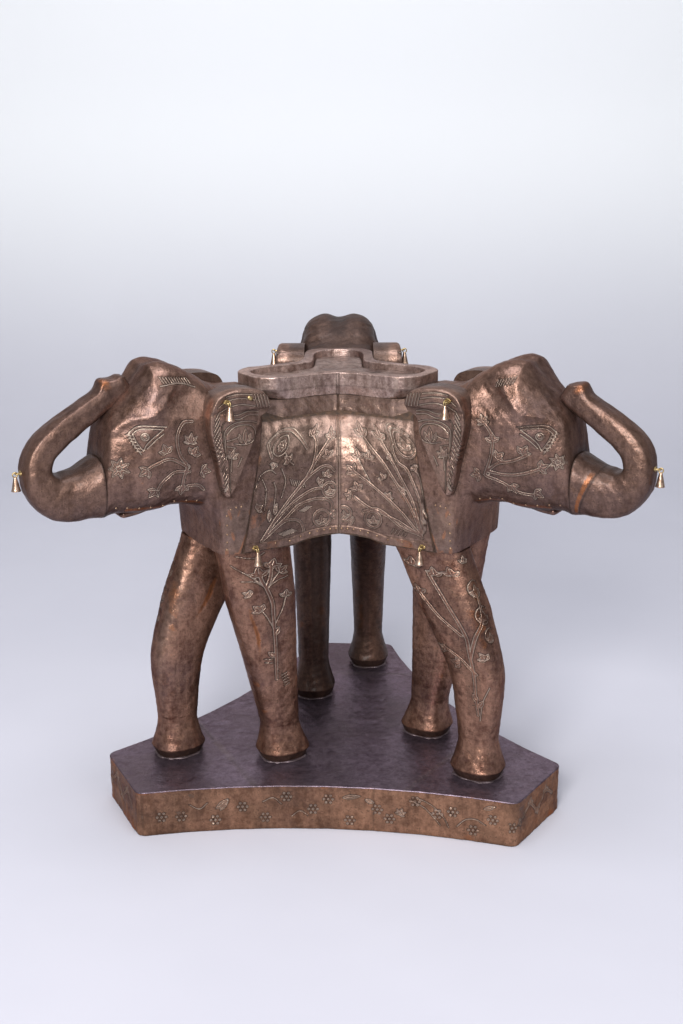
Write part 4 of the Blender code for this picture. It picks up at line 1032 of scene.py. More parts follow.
ear_outline = closed_path(EAR_CORNERS, EAR_SIDES) * [EAR_LENGTH, EAR_HEIGHT]
ear_outline = ear_outline + [EAR_BACK, EAR_TOP_RISE - EAR_HEIGHT]
edge_turn = np.linspace(0, math.pi / 2, 7)[1:]
ear_size = np.concatenate([np.ones(6), 1.0 - 0.05 * (1 - np.cos(edge_turn)), np.linspace(0.95, 0.02, 62)[1:]])
ear_level = np.concatenate([np.linspace(EAR_ROOT, EAR_FACE - EAR_EDGE, 6),
                            EAR_FACE - EAR_EDGE * (1 - np.sin(edge_turn)), np.full(61, EAR_FACE)])
ear_flat = EAR_MIDDLE + (ear_outline - EAR_MIDDLE)[None] * ear_size[:, None, None]
ear_x, ear_z = ear_flat[..., 0], ear_flat[..., 1]
print("ear grid", ear_flat.shape)

# %% [markdown]
# The ear's drawing is in millimetres ahead of the neck joint and above the seat: a rope of slanting
# strokes down the front edge, an oval with a leaf in it, a curled sprig, folds under the cap and ribs on
# the cap itself.

# %% Ear chasing
EAR_SHAPES = [
    *rope(((25.5, 137), (26.2, 126), (25.4, 112), (23.2, 99), (19.5, 84), (18.4, 68)),
          (8, 11, 10, 8, 7, 6), 122, 4.8),
    *scratch((15, 134), (20.4, 128), (20.2, 118), (18.4, 103), (14.6, 92), (14.6, 66)),
    *scratch((18, 96), (18, 111), (18, 122), (12.4, 127), (5, 129.3), (-6, 129.3), (-14, 127)),
    *scratch((16.4, 119), (10, 124.6), (1.7, 126.4), (-8, 125), (-12.5, 119), (-11.5, 113), (-8, 109),
             (0, 108), (9, 110)),
    *scratch((16.4, 113), (10, 114), (5, 115.5)), *scratch((16.4, 108), (8, 106)),
    *leaf((-2, 109), 92, 14, 0.2), *leaf((2, 110), 75, 9, 0.2), *leaf((-5, 110), 108, 9, 0.2),
    *sprig((12, 97), 110, 9), *scratch((12, 97), (13, 84)),
    *scratch((-16, 134), (-6, 135), (4, 132), (12, 134)),
    *scratch((-16, 137), (-6, 138.4), (6, 136), (14, 138)), *hatch((-25, 147), (-13, 148), 5, 76, 12),
    *scratch((-12, 143), (2, 146), (14, 144), (24, 140)),
    *scratch((-11, 149), (2, 151.5), (16, 150), (25, 145)), *scratch((-9, 154), (4, 155.5), (16, 154)),
    *scratch((6, 88), (2, 96)),
]
print("ear drawing of", len(EAR_SHAPES), "paths")

# %% [markdown]
# On the plate the rope border, the cap and the oval stand out from the field, and every drawn edge is a
# groove. The cap flattens where the bell hangs. Dirt lies in the field and beside the rope, painted shade
# darkens the plate's edge next to the head and a line under the cap, and the tips are rubbed.

# %% Ear skin
BELL_AT = 13.0
ear_line = read_ink(inked(EAR_SHAPES, (-32, 55), (40, 165)), ear_x, ear_z)
on_face = step_up(ear_level, EAR_FACE - 1.2, EAR_FACE - 0.2)[:, None]
in_sight = step_up(ear_level, EAR_FACE - 12.0, EAR_FACE - 11.0)[:, None]
ROPE_LEVELS, ROPE_EDGES = [50, 66, 92, 103, 118, 128, 134, 170], [14.6, 14.6, 14.6, 18.4, 20.2, 20.4, 15, 15]
rope_edge = profile(ROPE_LEVELS, ROPE_EDGES, ear_z)
on_rope = step_up(ear_x - rope_edge, -0.6, 0.8) * step_up(140 - ear_z, 0, 3)
cap = np.sqrt(np.clip(1 - ((ear_z - 149.0) / 9.5) ** 2, 0, 1)) * (1 - 0.85 * bump(ear_x - BELL_AT, 9.0))
in_oval = step_up(1 - ((ear_x - 2) / 15) ** 2 - ((ear_z - 117) / 9.5) ** 2, 0, 0.25)
ear_lift = chased(ear_line, 0.34, 0.10) + 0.9 * on_rope + 2.6 * cap + 0.5 * in_oval
ear_out = ear_level[:, None] - 0.6 + ear_lift * on_face
ear_rings = np.stack([ear_x + BODY_ARM * 1000, ear_out, ear_z + SEAT * 1000], -1) / 1000
ear_rings[..., 1] += 0.00022 * hammered(ear_rings)
ear_marks = {
    "vine": drawn(ear_line, in_sight),
    "bare": 0.22 * bump((ear_size - 0.97)[:, None], 0.03) + 0.35 * bump(ear_x - 18, 5) * bump(ear_z - 84, 14),
    # soot: dirt in the field and beside the rope, and painted shade on the edge next to the head and under
    # the cap
    "soot": 0.22 * (1 - on_rope) * on_face + 0.45 * bump(ear_x - rope_edge, 1.0) * step_up(138 - ear_z, 0, 6)
    + 0.8 * step_up(EAR_FACE - 10 - ear_level, 0, 4)[:, None] + 0.5 * bump(ear_z - 139, 2.0) * on_face,
}
SIDES = {"left": 1, "right": -1}
for name, mirror in SIDES.items():
    on_elephants(f"{name}_ear_plate", ear_rings, FLANK, ear_marks, f"{name}_ear", mirror)
print("ear plates", ear_rings.shape)

# %% [markdown]
# A stray chip of brass is caught on the cap of the left elephant's left ear. It is a pebble of four rings
# whose radius swells twice in a turn.

# %% Brass chip
CHIP_AHEAD, CHIP_RISE = -7.0, 151.0
CHIP_RADII, CHIP_LEVELS = np.array([2.2, 2.4, 1.9, 0.3]), np.array([0.6, 2.2, 2.9, 3.1])
chip_turns = full_turn(10)[None]
chip_radii = CHIP_RADII[:, None] * (1 + 0.25 * np.sin(chip_turns * 2 + 0.6))
chip_flat = about((BODY_ARM * 1000 + CHIP_AHEAD, SEAT * 1000 + CHIP_RISE), chip_radii, chip_turns)
chip_rings = raised(chip_flat, EAR_FACE + CHIP_LEVELS[:, None])[..., [0, 2, 1]] / 1000
skin("left_ear_brass_chip", turned(chip_rings, ELEPHANTS["left"]), BRASS)
print("one chip", round(2 * CHIP_RADII.max(), 1), "mm across")

# %% [markdown]
# Chased sheets cover the flanks, two to a side, from the neck joint to a raised seam midway to the next
# elephant, and from a nailed hem at the belly up to the saddle. The three-armed body gives their form:
# its radius at every angle is the three arms' radii raised to a power and added, so the arms run together
# in a soft hollow.

# %% Body form
PANEL_SHEET, PANEL_MARGIN, PANEL_HEM_LIFT = 0.0010, 0.0012, 0.0015
ARCH_HALF, ARCH_RISE = 0.046, 0.0075


def arm_edge(angle, half, reach, end_half, corner):
    """Distance from the axis to one arm's edge: the nearest of its side, its end and the cut corner."""
    side = np.abs(np.sin(angle)) / half
    ahead = np.cos(angle)
    cut_x = half - end_half
    cut = (cut_x * ahead + corner * np.abs(np.sin(angle))) / (cut_x * reach + corner * end_half)
    inside = np.maximum(np.maximum(side, ahead / reach), cut)
    return np.where(ahead > 0, 1 / inside, half)


def three_arms(angles, half, reach, end_half, corner, blend):
    """Radius of three arms run together: the blend-th root of the sum of their blend-th powers."""
    away = [np.abs((angles - arm * THIRD_TURN + math.pi) % (2 * math.pi) - math.pi) for arm in range(3)]
    return sum(arm_edge(one, half, reach, end_half, corner) ** blend for one in away) ** (1 / blend)


def body_half(height):
    """Half breadth of an arm above the seat: upright flanks that round over into the back."""
    return BODY_HALF * profile([-0.1, 0.0, 0.3, 0.60, 0.78, 0.90, 1.0],
                               [0.975, 0.98, 1.0, 0.99, 0.915, 0.72, 0.42], height / BODY_HEIGHT)


def body_radius(angles, height):
    """Distance from the axis to the body's surface."""
    far = BODY_ARM * 1.4
    half = body_half(height)
    return three_arms(angles, half, far, half, far / 100, BODY_BLEND)


def flank_place(angle, height):
    """Point of the body's surface and its unit normal, from steps in angle and in height."""
    step = 0.001
    near = [(angle, height), (angle + step, height), (angle, height + step)]
    here, beside, over = (raised(about((0, 0), body_radius(a, h), a), h + SEAT) for a, h in near)
    return here, unit(np.cross(beside - here, over - here))


def belly_height(angle):
    """Height of the belly's edge above the seat: the arch between two elephants is part of a circle."""
    aside = body_radius(angle, 0.0) * np.sin(HALF_THIRD - angle)
    radius = (ARCH_HALF ** 2 + ARCH_RISE ** 2) / (2 * ARCH_RISE)
    return np.maximum(ARCH_RISE - radius + np.sqrt(np.maximum(radius ** 2 - aside ** 2, 0)), 0.0)


print("body", round(2000 * BODY_HALF), "mm wide, belly arch", round(1000 * ARCH_RISE, 1), "mm high")

# %% [markdown]
# A sheet's grid runs from the neck to the seam and from the hem to its top, where it turns back along its
# inner face. Its lower edge follows the belly's arch and its edge at the neck leans, so angle and height
# are settled together in a few rounds. Lengths along the body give the drawing its millimetres.

# %% Flank grid
PANEL_COLUMNS, PANEL_ROWS, INNER_ROWS, PANEL_TOP = 135, 165, 5, 0.1190
panel_across = np.linspace(0, 1, PANEL_COLUMNS)[:, None]
panel_up = np.concatenate([np.linspace(0, 1, PANEL_ROWS), np.linspace(1, 0, INNER_ROWS)])[None, :]
outer_sheet = np.concatenate([np.ones(PANEL_ROWS), np.zeros(INNER_ROWS)])[None, :]
panel_seam = HALF_THIRD - GAP / body_radius(np.array([HALF_THIRD]), 0.0)[0]
panel_height = PANEL_TOP * panel_up + 0 * panel_across
for settle in range(4):
    panel_edge = np.arctan2(body_half(panel_height), BODY_ARM - NECK_SLOPE * panel_height - PANEL_MARGIN)
    panel_angle = panel_edge + (panel_seam - panel_edge) * panel_across
    hem = belly_height(panel_angle) + PANEL_HEM_LIFT
    panel_height = hem + (PANEL_TOP - hem) * panel_up

fine_angle = np.linspace(0, HALF_THIRD, 800)
fine_radius = body_radius(fine_angle, 0.06)
fine_run = run_along(about((0, 0), fine_radius, fine_angle))
panel_u = (fine_run[-1] - np.interp(panel_angle, fine_angle, fine_run)) * 1000
panel_v = panel_height * 1000
print("flank sheet", panel_u.max().round(), "mm by", panel_v.max().round(), "mm")

# %% [markdown]
# The flank vines spread from the lower corner by the leg like a bunch tied at its foot. The left and
# right sheets carry such bunches, each with its own drawing, in millimetres from the seam and above the
# seat.

# %% Flank chasing
LEFT_FLANK = [
    *vine((70, 89), (75, 96), (79, 103), (75, 110), (63, 111), (52, 108), (41, 102), (33, 94)),
    *ring((63, 98.5), 8.5), *rosette((62, 98.5), 5, 7), *trefoil((50, 84), 40, 8),
    *trefoil((66, 84), -70, 6), *scratch((56, 92), (50, 84), (45, 80)),
    *vine((82, 9.5), (60, 36), (42, 56), (28, 72), (23, 87), (24, 100), (28, 105)),
    *trefoil((29, 104), 100, 9), *vine((30, 70), (21, 84), (12, 97), (6, 103)), *trefoil((7, 101), 80, 9),
    *trefoil((9, 85), 60, 8), *vine((82, 9.5), (66, 27), (47, 43), (31, 52), (21, 55), (14, 54)),
    *band((8.5, 53), 7), *trefoil((8, 49), 80, 7), *trefoil((20, 60), 150, 7),
    *vine((44, 53), (30, 67), (17, 75.5), (9, 76), (4, 71)), *trefoil((12, 66), 110, 7),
    *vine((82, 9.5), (55, 29), (41, 40), (26, 44.5), (13, 44), (7, 39), (7, 31)), *band((17, 25), 8.3),
    *trefoil((17, 20), 85, 8), *vine((82, 9.5), (58, 25), (48, 27), (40, 24), (36.5, 17), (36.5, 11)),
    *hatch((46, 16), (60, 13), 8, 28, 7), *rosette((4.5, 28), 4.5, 4),
    *hatch((30, 38), (37, 34), 5, 10, 6), *scratch((76, 40), (74, 58), (78, 70)),
    *scratch((66, 42), (64, 58), (66, 66)), *trefoil((84, 42), 150, 7),
    *scratch((58, 50), (54, 66), (58, 78)), *leaf((72, 28), 95, 12, 0.16), *leaf((66, 34), 105, 12, 0.16),
    *scratch((86, 60), (80, 74), (70, 78), (64, 74)), *hatch((34, 60), (48, 64), 7, 70, 6),
]
RIGHT_FLANK = [
    *vine((88, 13), (74, 42), (48, 79), (28, 103)), *trefoil((27, 104), 95, 11),
    *trefoil((48, 103), 85, 10), *vine((88, 13), (76, 48), (59, 78), (48, 102)),
    *trefoil((46, 66), 120, 7), *trefoil((64, 56), 40, 7), *vine((88, 14), (62, 38), (35, 58), (15, 71)),
    *trefoil((15, 71), 140, 9), *trefoil((20, 84), 100, 9), *trefoil((31, 84), 80, 8),
    *scratch((20, 84), (24, 76), (32, 62)), *trefoil((50, 48), 60, 7),
    *vine((87, 15), (60, 27), (30, 37), (16, 46)), *trefoil((19, 53), 110, 9), *trefoil((12, 47), 170, 7),
    *vine((88, 18), (84, 48), (72, 76), (62, 84), (59, 96), (64, 110), (76, 114), (86, 108)),
    *band((74, 100), 11), *trefoil((74, 96), 90, 10), *trefoil((56, 88), 200, 7),
    *trefoil((78, 82), -60, 7), *band((35, 25), 8), *trefoil((35, 21), 90, 8),
    *vine((85, 16), (65, 21), (50, 31), (38, 36), (25, 32)), *band((5, 29), 7), *trefoil((5, 25), 90, 7),
    *scratch((90, 18), (88, 44), (85, 68), (80, 80)), *scratch((91, 20), (91, 48)),
    *trefoil((14, 20), 150, 7), *hatch((56, 16), (70, 14), 5, 60, 5),
]
print("flank drawings of", len(LEFT_FLANK), "and", len(RIGHT_FLANK), "paths")

# %% [markdown]
# The drawing stops at the hem, which is folded double and so stands out, and at the raised seam. The
# sheet is painted palest near its top, where the light falls on it, and darker towards the bottom as
# shade, and copper shows through along the hem and towards the leg.

# %% Flank skin
hem_away = panel_v - (belly_height(panel_angle) + PANEL_HEM_LIFT) * 1000
on_hem = step_up(7.5 - hem_away, 0, 0.8)
hem_line = bump(hem_away - 7.6, 0.5)
seam_ridge = bump(panel_u - 1.0, 0.9)
neck_edge = panel_across * (panel_u.max(0) - panel_u.min(0))[None]
panel_place, panel_normal = flank_place(panel_angle, panel_height)
patchy = step_up(hammered(panel_place * 0.45), 0.0, 0.9)
off_hem = (1 - on_hem) * step_up(panel_u, 1.5, 3.0)
for name, shapes in (("left", LEFT_FLANK), ("right", RIGHT_FLANK)):
    panel_line = read_ink(inked(shapes, (-2, -2), (112, 125)), panel_u, panel_v)
    panel_relief = chased(panel_line) * off_hem + 0.45 * on_hem + 0.6 * seam_ridge - 0.25 * hem_line
    panel_relief = (panel_relief + 0.45 * hammered(panel_place)) * outer_sheet
    panel_out = GAP + outer_sheet * PANEL_SHEET + panel_relief * 0.001
    panel_rings = panel_place + panel_normal * panel_out[..., None]
    panel_marks = {
        "vine": drawn(panel_line, off_hem * outer_sheet),
        # painted light: the upper sheet is paler; the seam's ridge is scratched
        "chase": (0.4 * seam_ridge + 0.22 * step_up(panel_v, 78, 112)) * outer_sheet,
        "bare": (0.30 * patchy * on_hem + 0.45 * patchy * bump(panel_v - 42, 34) * step_up(panel_u, 30, 70)
                 + 0.5 * bump(neck_edge, 2.0) * bump(panel_v - 92, 12)) * outer_sheet,
        # soot: the dark hem fold, edges and seam, and painted shade that darkens the lower sheet
        "soot": np.maximum.reduce([0.8 * hem_line, 0.7 * bump(panel_v - PANEL_TOP * 1000, 1.4),
                                   1 - outer_sheet + 0 * panel_u, 0.6 * bump(neck_edge, 0.8),
                                   0.5 * bump(panel_u - 3.2, 0.8), 0.25 * (1 - step_up(panel_v, 10, 70))]),
    }
    on_elephants(f"{name}_flank_sheet", panel_rings, FLANK, panel_marks,
                 f"{name}_flank_panel", SIDES[name])
print("flank sheets", panel_rings.shape)

# %% [markdown]
# Each elephant has one leg forward with a bent knee and one back, standing straight. A leg is rings
# stacked along a bent line: the foot flares like a bell and is cut back below, the ankle is narrow and
# the thigh widens to the body. The vines run up its outer side.

# %% Leg form
FORWARD_LEG = (0.1755, 0.1215, 0.47, -LEG_SIDE)
BACK_LEG = (0.0865, 0.1155, 0.0, LEG_SIDE)
FOOT_DEPTH, ANKLE_DEPTH, THIGH_DEPTH = 0.0268, 0.0192, 0.0420
FOOT_BREADTH, ANKLE_BREADTH, THIGH_BREADTH = 0.0240, 0.0168, 0.0235
SOLE_INSET, SOLE_SHARE, LEG_TUCK, TUCK_START = 0.0042, 0.042, 0.0042, 0.72
FLARE_SHARE, FLARE_POWER, THIGH_START, THIGH_POWER = 0.125, 1.4, 0.16, 1.1


def leg_half(t, foot, ankle, thigh):
    """Half size up the leg: the ankle, plus a straight flare for the foot, plus a power curve for the thigh,
    less a tuck under the chest and the inset of the sole."""
    sole = SOLE_INSET * np.clip(1 - t / SOLE_SHARE, 0, 1)
    flare = (1 - np.clip((t - SOLE_SHARE) / FLARE_SHARE, 0, 1)) ** FLARE_POWER
    tuck = LEG_TUCK * step_up(t, TUCK_START, 1.0)
    swell = np.clip((t - THIGH_START) / (1 - THIGH_START), 0, 1) ** THIGH_POWER
    return ankle + (foot - ankle) * flare - tuck + (thigh - ankle) * swell - sole


def leg_centre(t, foot_reach, top_reach, knee):
    """Fore and aft place: still below the knee, then leaning to its seat, with a rounded corner between."""
    corner = 0.14
    ends = np.array([knee / (knee - 1), 1.0])
    past = (t - knee) / (1 - knee)
    lean = past + np.sqrt(past ** 2 + corner ** 2)
    low, high = ends + np.sqrt(ends ** 2 + corner ** 2)
    return foot_reach + (top_reach - foot_reach) * (lean - low) / (high - low)


LEG_ROWS, LEG_SIDES = 235, 130
leg_up = np.concatenate([np.linspace(0, 0.10, 34), np.linspace(0.10, 1, LEG_ROWS - 33)[1:]])[:, None]


def leg_form(foot_reach, top_reach, knee, side):
    """Rings of a leg and its sheet's own directions: degrees round it, times a scale and above 0 on the outer
    side, and millimetres up."""
    outside = np.sign(side)
    turns = even_turns(LEG_SIDES, 0.030, 0.020, 2.8, lambda across, up: 1 + step_up(up * outside, -0.2, 0.6))
    across, aside = squared(turns, 2.4 + 0.9 * leg_up)
    centre = leg_centre(leg_up, foot_reach, top_reach, knee)
    x = centre + across * leg_half(leg_up, FOOT_DEPTH, ANKLE_DEPTH, THIGH_DEPTH)
    y = side + aside * leg_half(leg_up, FOOT_BREADTH, ANKLE_BREADTH, THIGH_BREADTH)
    low, high = PLINTH_HEIGHT + GAP, SEAT - GAP
    u = np.degrees(np.arctan2(aside * outside, across)) * 0.42
    return np.stack([x, y, low + (high - low) * leg_up + 0 * x], -1), u, leg_up * LEG_HEIGHT * 1000 + 0 * u


print("a leg has", LEG_ROWS, "rings of", LEG_SIDES)

# %% [markdown]
# Vines climb the outer sides of the legs only. Each drawing is unrolled: across it lie degrees round the
# leg, taken as millimetres, and up it lie millimetres above the plinth.

# %% Leg chasing
FORWARD_VINE = [
    *vine((30, 70), (33, 95), (31, 130), (29, 150), (34, 178), (40, 206)),
    *vine((31, 128), (22, 150), (12, 168), (9, 190)), *vine((30, 112), (40, 126), (52, 136)),
    *ring((9, 195), 8), *trefoil((9, 190), 90, 9), *ring((9, 170), 8.5), *trefoil((9, 165), 90, 9),
    *ring((7, 150), 7), *trefoil((7, 145), 90, 8), *trefoil((19, 128), 60, 8), *trefoil((24, 208), 80, 8),
    *trefoil((50, 212), 100, 9), *trefoil((43, 120), 20, 8), *trefoil((53, 130), 60, 8),
    *vine((32, 150), (44, 166), (52, 186)), *trefoil((52, 186), 80, 8), *trefoil((12, 220), 90, 7),
    *trefoil((36, 206), 90, 8), *leaf((31, 84), 60, 9), *leaf((30, 78), 120, 9),
    *scratch((28, 64), (26, 84), (20, 100)),
]
BACK_VINE = [
    *scratch((37, 190), (30, 198), (22, 200)), *scratch((37, 190), (28, 204), (17, 217)),
    *trefoil((34, 203), 95, 10), *vine((37, 190), (35, 197), (34, 203)), *trefoil((43, 210), 70, 9),
    *vine((37, 190), (41, 200), (43, 210)), *trefoil((48, 204), 35, 8),
    *scratch((38, 190), (44, 199), (48, 204)), *scratch((37, 190), (46, 196), (54, 198)),
    *vine((37, 190), (39.5, 175), (39, 161), (38, 137), (36, 112), (34, 92)), *trefoil((31, 168), 130, 8),
    *scratch((31, 168), (34, 160), (38, 146)), *scratch((22, 226), (32, 222), (40, 226)),
    *trefoil((26, 186), 150, 6), *leaf((38, 140), 60, 9), *leaf((36, 116), 130, 9),
    *scratch((26, 116), (33, 114)), *scratch((26, 112), (33, 110)), *hatch((42, 96), (44, 84), 5, 20, 6),
    *trefoil((50, 178), 80, 7), *scratch((50, 178), (46, 165), (40, 152)),
]
print("leg drawings of", len(FORWARD_VINE), "and", len(BACK_VINE), "paths")

# %% [markdown]
# The inner sides and the forward legs' fronts are plain: there the sheet shows hammer marks, long splits
# with orange edges, and a painted highlight, a pale streak down the front of the forward leg. Painted shade
# darkens the soles and the inner sides.

# %% Leg skin
LEGS = {"forward": (FORWARD_LEG, FORWARD_VINE, (-40, 172)), "back": (BACK_LEG, BACK_VINE, (24, 148))}
for name, (stance, shapes, (split_at, split_mid)) in LEGS.items():
    leg_rings, leg_u, leg_v = leg_form(*stance)
    leg_line = read_ink(inked(shapes, (-2, 50), (80, 232)), leg_u, leg_v)
    on_side = step_up(leg_u, 0, 2) * step_up(leg_v, 56, 60) * step_up(75 - leg_u, 0, 2)
    split_away = leg_u - split_at + 0.12 * (leg_v - split_mid) * (split_at < 0) - 0.8 * np.sin(leg_v / 7)
    split = bump(split_away, 0.8) * bump(leg_v - split_mid, 24)
    crack = bump(leg_u + 31 + 0.9 * np.sin(leg_v / 9), 0.6)
    crack = crack * step_up(leg_v, 60, 75) * step_up(120 - leg_v, 0, 15)
    # the lowest 9.6 mm of the foot, painted dark as shade under the foot's flare
    sole = step_up(9.6 - leg_v, 0, 1.0)
    rough = hammered(leg_rings)
    leg_relief = chased(leg_line) * on_side + 0.26 * rough
    leg_relief = leg_relief - 0.7 * split - 0.35 * crack - 0.25 * bump(leg_v - 42, 0.8)
    patchy = step_up(hammered(leg_rings * 0.5 + 0.2), 0.05, 0.9)
    leg_edge = bump(np.abs(np.abs(leg_u) - 37.8) - 24, 9)
    leg_marks = {
        "vine": drawn(leg_line, on_side),
        # painted highlight: a pale streak down the front of the forward leg
        "chase": 0.30 * bump(leg_u + 14, 9) * bump(leg_v - 150, 62) * (split_at < 0),
        "bare": 0.75 * bump(split_away, 2.2) * bump(leg_v - split_mid, 30)
        + patchy * (0.42 * leg_edge * step_up(leg_v, 30, 60) + 0.16 + 0.3 * bump(leg_v - 12, 5)),
        # soot: painted shade on the soles and inner sides, dark splits, cracks and dents, and the top where
        # the leg meets the body
        "soot": 0.95 * sole + 0.8 * split + 0.5 * crack + 0.15 * step_up(leg_v, 226, 230)
        + 0.22 * step_up(-leg_u, 20, 45) + 0.12 * step_up(-rough, 0.2, 0.9),
    }
    leg_rings = beaten(leg_rings, leg_relief * step_up(leg_v, 0, 3))
    on_elephants(f"{name}_leg_sheet", leg_rings, LEG, leg_marks, f"{name}_leg",
                 rear_soot=REAR_SHADE_AND_SOOT)
print("legs", leg_rings.shape)

# %% [markdown]
# Where the feet stand, a ragged pale ring of old solder and dust lies on the plinth. It is a very low
# lathe form whose radius wavers, following the foot's squared outline.

# %% Solder rings
solder_turns = full_turn(96)[None]
across, aside = squared(solder_turns, 2.4)
solder_grow = np.array([0.0002, 0.0008, 0.0014, 0.0016])[:, None]
solder_rise = np.array([0.0014, 0.0010, 0.0005, 0.0001])[:, None]
solder_marks = {"soot": 0.35, "chase": 0.30}
for elephant, angle in ELEPHANTS.items():
    for name, (foot_reach, _, _, side) in (("forward", FORWARD_LEG), ("back", BACK_LEG)):
        waver = 1 + 0.8 * np.sin(solder_turns * 3 + angle) * np.sin(solder_turns * 7 + side * 90)
        grow = solder_grow * np.clip(waver, 0.15, 2)
        foot_x = foot_reach + across * (FOOT_DEPTH - SOLE_INSET + grow)
        foot_y = side + aside * (FOOT_BREADTH - SOLE_INSET + grow)
        rise = PLINTH_HEIGHT + solder_rise * np.clip(0.5 + 0.5 * waver, 0.2, 1) + 0 * foot_x
        rings = np.stack([foot_x, foot_y, rise], -1)[::-1]
        skin(f"{elephant}_{name}_foot_solder", turned(rings, angle), SLAB, solder_marks)
print("six solder rings")

# %% [markdown]
# A saddle block sits in the backs, and on it a tray. Both have three arms, so both are rings of radii at
# the same angles round the table, stacked at a list of heights. Softening an outline is a running mean
# round the ring, and since the ring is closed, two Fourier transforms do it at once.

# %% Three-armed rings
TRAY_CORNER, TRAY_BLEND = 0.016, 7.0
table_turns = full_turn(540)


def rounded(radii, degrees):
    """Outline with softer corners: each radius becomes a mean of its neighbours, weighted by a soft hill."""
    weight = bump(np.minimum(table_turns, 2 * math.pi - table_turns), math.radians(degrees))
    return np.fft.irfft(np.fft.rfft(radii) * np.fft.rfft(weight / weight.sum()), len(radii))


def stacked(radii, heights):
    """Rings from radii at the table's angles, with the first arm turned to the rear elephant."""
    return turned(raised(about((0, 0), radii, table_turns), heights[:, None]), ELEPHANTS["rear"])


def seam_away(edge):
    """Millimetres round an outline to the nearest seam, which lies midway between two arms."""
    past = (table_turns + HALF_THIRD) % THIRD_TURN
    return (np.minimum(past, THIRD_TURN - past) * edge * 1000)[None]


print("a ring has", len(table_turns), "points")

# %% [markdown]
# The saddle's sides are plain sheet with a seam in each hollow, raised beside the joint and dark in it.
# Just under the tray a painted shadow darkens them.

# %% Saddle
SADDLE_HALF, SADDLE_ARM, SADDLE_DEPTH, SADDLE_ROWS = 0.0335, 0.096, 0.016, 30
SADDLE_END_HALF = SADDLE_HALF - TRAY_CORNER / 2
saddle_edge = three_arms(table_turns, SADDLE_HALF, SADDLE_ARM, SADDLE_END_HALF, TRAY_CORNER, TRAY_BLEND)
saddle_rise = np.linspace(BODY_TOP - SADDLE_DEPTH, TRAY_BASE - GAP, SADDLE_ROWS)
saddle_rings = stacked(np.repeat(saddle_edge[None], SADDLE_ROWS, 0), saddle_rise)
saddle_seam = seam_away(saddle_edge)
saddle_lift = 0.5 * bump(saddle_seam - 2, 1.5) + 0.45 * hammered(saddle_rings) - 0.5 * bump(saddle_seam, 0.7)
saddle_rings = beaten(saddle_rings, saddle_lift)
under_tray = (TRAY_BASE - saddle_rings[..., 2]) * 1000
saddle_marks = {
    "bare": 0.2 * bump(saddle_seam, 3),
    "chase": 0.20,
    # painted shadow just under the tray's edge, beside the dark seams
    "soot": 0.8 * bump(saddle_seam, 0.8) + 0.6 * bump(under_tray, 2.0),
}
skin("saddle_sheet", saddle_rings, FLANK, saddle_marks, stands_for=["saddle_block"])
print("saddle", round(2000 * saddle_edge.max()), "mm over its arms")

# %% [markdown]
# The tray has an undercut edge, a flat raised rim with rounded lips and a shallow floor. Going up its
# side, over the rim and down inside, each row says how far the outline is moved out and how high it lies;
# then the inner outline shrinks towards the middle for the floor.

# %% Tray form
TRAY_HALF, TRAY_ARM, TRAY_END_HALF, TRAY_HEIGHT = 0.0350, 0.103, 0.019, 0.0215
TRAY_UNDERCUT, TRAY_RIM, TRAY_DEPTH, TRAY_LIP = 0.008, 0.0100, 0.0080, 0.0009
OUTER_SOFTENING, INNER_SOFTENING = 3.5, 6.0


def tray_edge(grow, reach_grow):
    """Tray outline moved outwards by some distance, and by another at the arm ends."""
    end_half = TRAY_END_HALF + grow * (TRAY_END_HALF / TRAY_HALF)
    edge = three_arms(table_turns, TRAY_HALF + grow, TRAY_ARM + reach_grow, end_half, TRAY_CORNER, TRAY_BLEND)
    return rounded(edge, OUTER_SOFTENING if grow > -TRAY_RIM / 2 else INNER_SOFTENING)


tray_top = TRAY_BASE + TRAY_HEIGHT
shelf = TRAY_BASE + TRAY_HEIGHT * 0.42
below = np.linspace(0, 1, 8)
side, rim, wall = (np.linspace(0, 1, count)[1:] for count in (13, 12, 9))
quarter = np.linspace(0, math.pi / 2, 5)[1:]
fall, rest = TRAY_LIP * (1 - np.cos(quarter)), TRAY_LIP * (1 - np.sin(quarter))
tray_grow = np.concatenate([
    -TRAY_UNDERCUT / 4 * (1 - below), 0 * side, -fall,
    -TRAY_LIP - (TRAY_RIM - 2 * TRAY_LIP) * rim, rest - TRAY_RIM, -TRAY_RIM * (1 + 0.06 * wall),
])
tray_levels = np.concatenate([
    TRAY_BASE + (shelf - TRAY_BASE) * below, shelf + (tray_top - TRAY_LIP - shelf) * side, tray_top - rest,
    tray_top + 0 * rim, tray_top - fall, tray_top - TRAY_LIP - (TRAY_DEPTH - TRAY_LIP) * wall,
])
tray_reach = tray_grow * np.where(tray_levels < shelf, 4, 1)
tray_radii = np.array([tray_edge(*grow) for grow in zip(tray_grow, tray_reach)])
floor_share = np.linspace(1, 0.02, 48)[1:]
tray_radii = np.concatenate([tray_radii, tray_radii[-1][None] * floor_share[:, None]])
tray_levels = np.concatenate([tray_levels, np.full(len(floor_share), tray_top - TRAY_DEPTH)])
tray_rings = stacked(tray_radii, tray_levels)
print("tray rings", tray_rings.shape)

# %% [markdown]
# The floor's sheet is crumpled. Its creases are folded sine waves, since the absolute value of a sine has
# a sharp valley as a crease has, and other sines pull them out of line. Scratches run down the tray's
# sides.

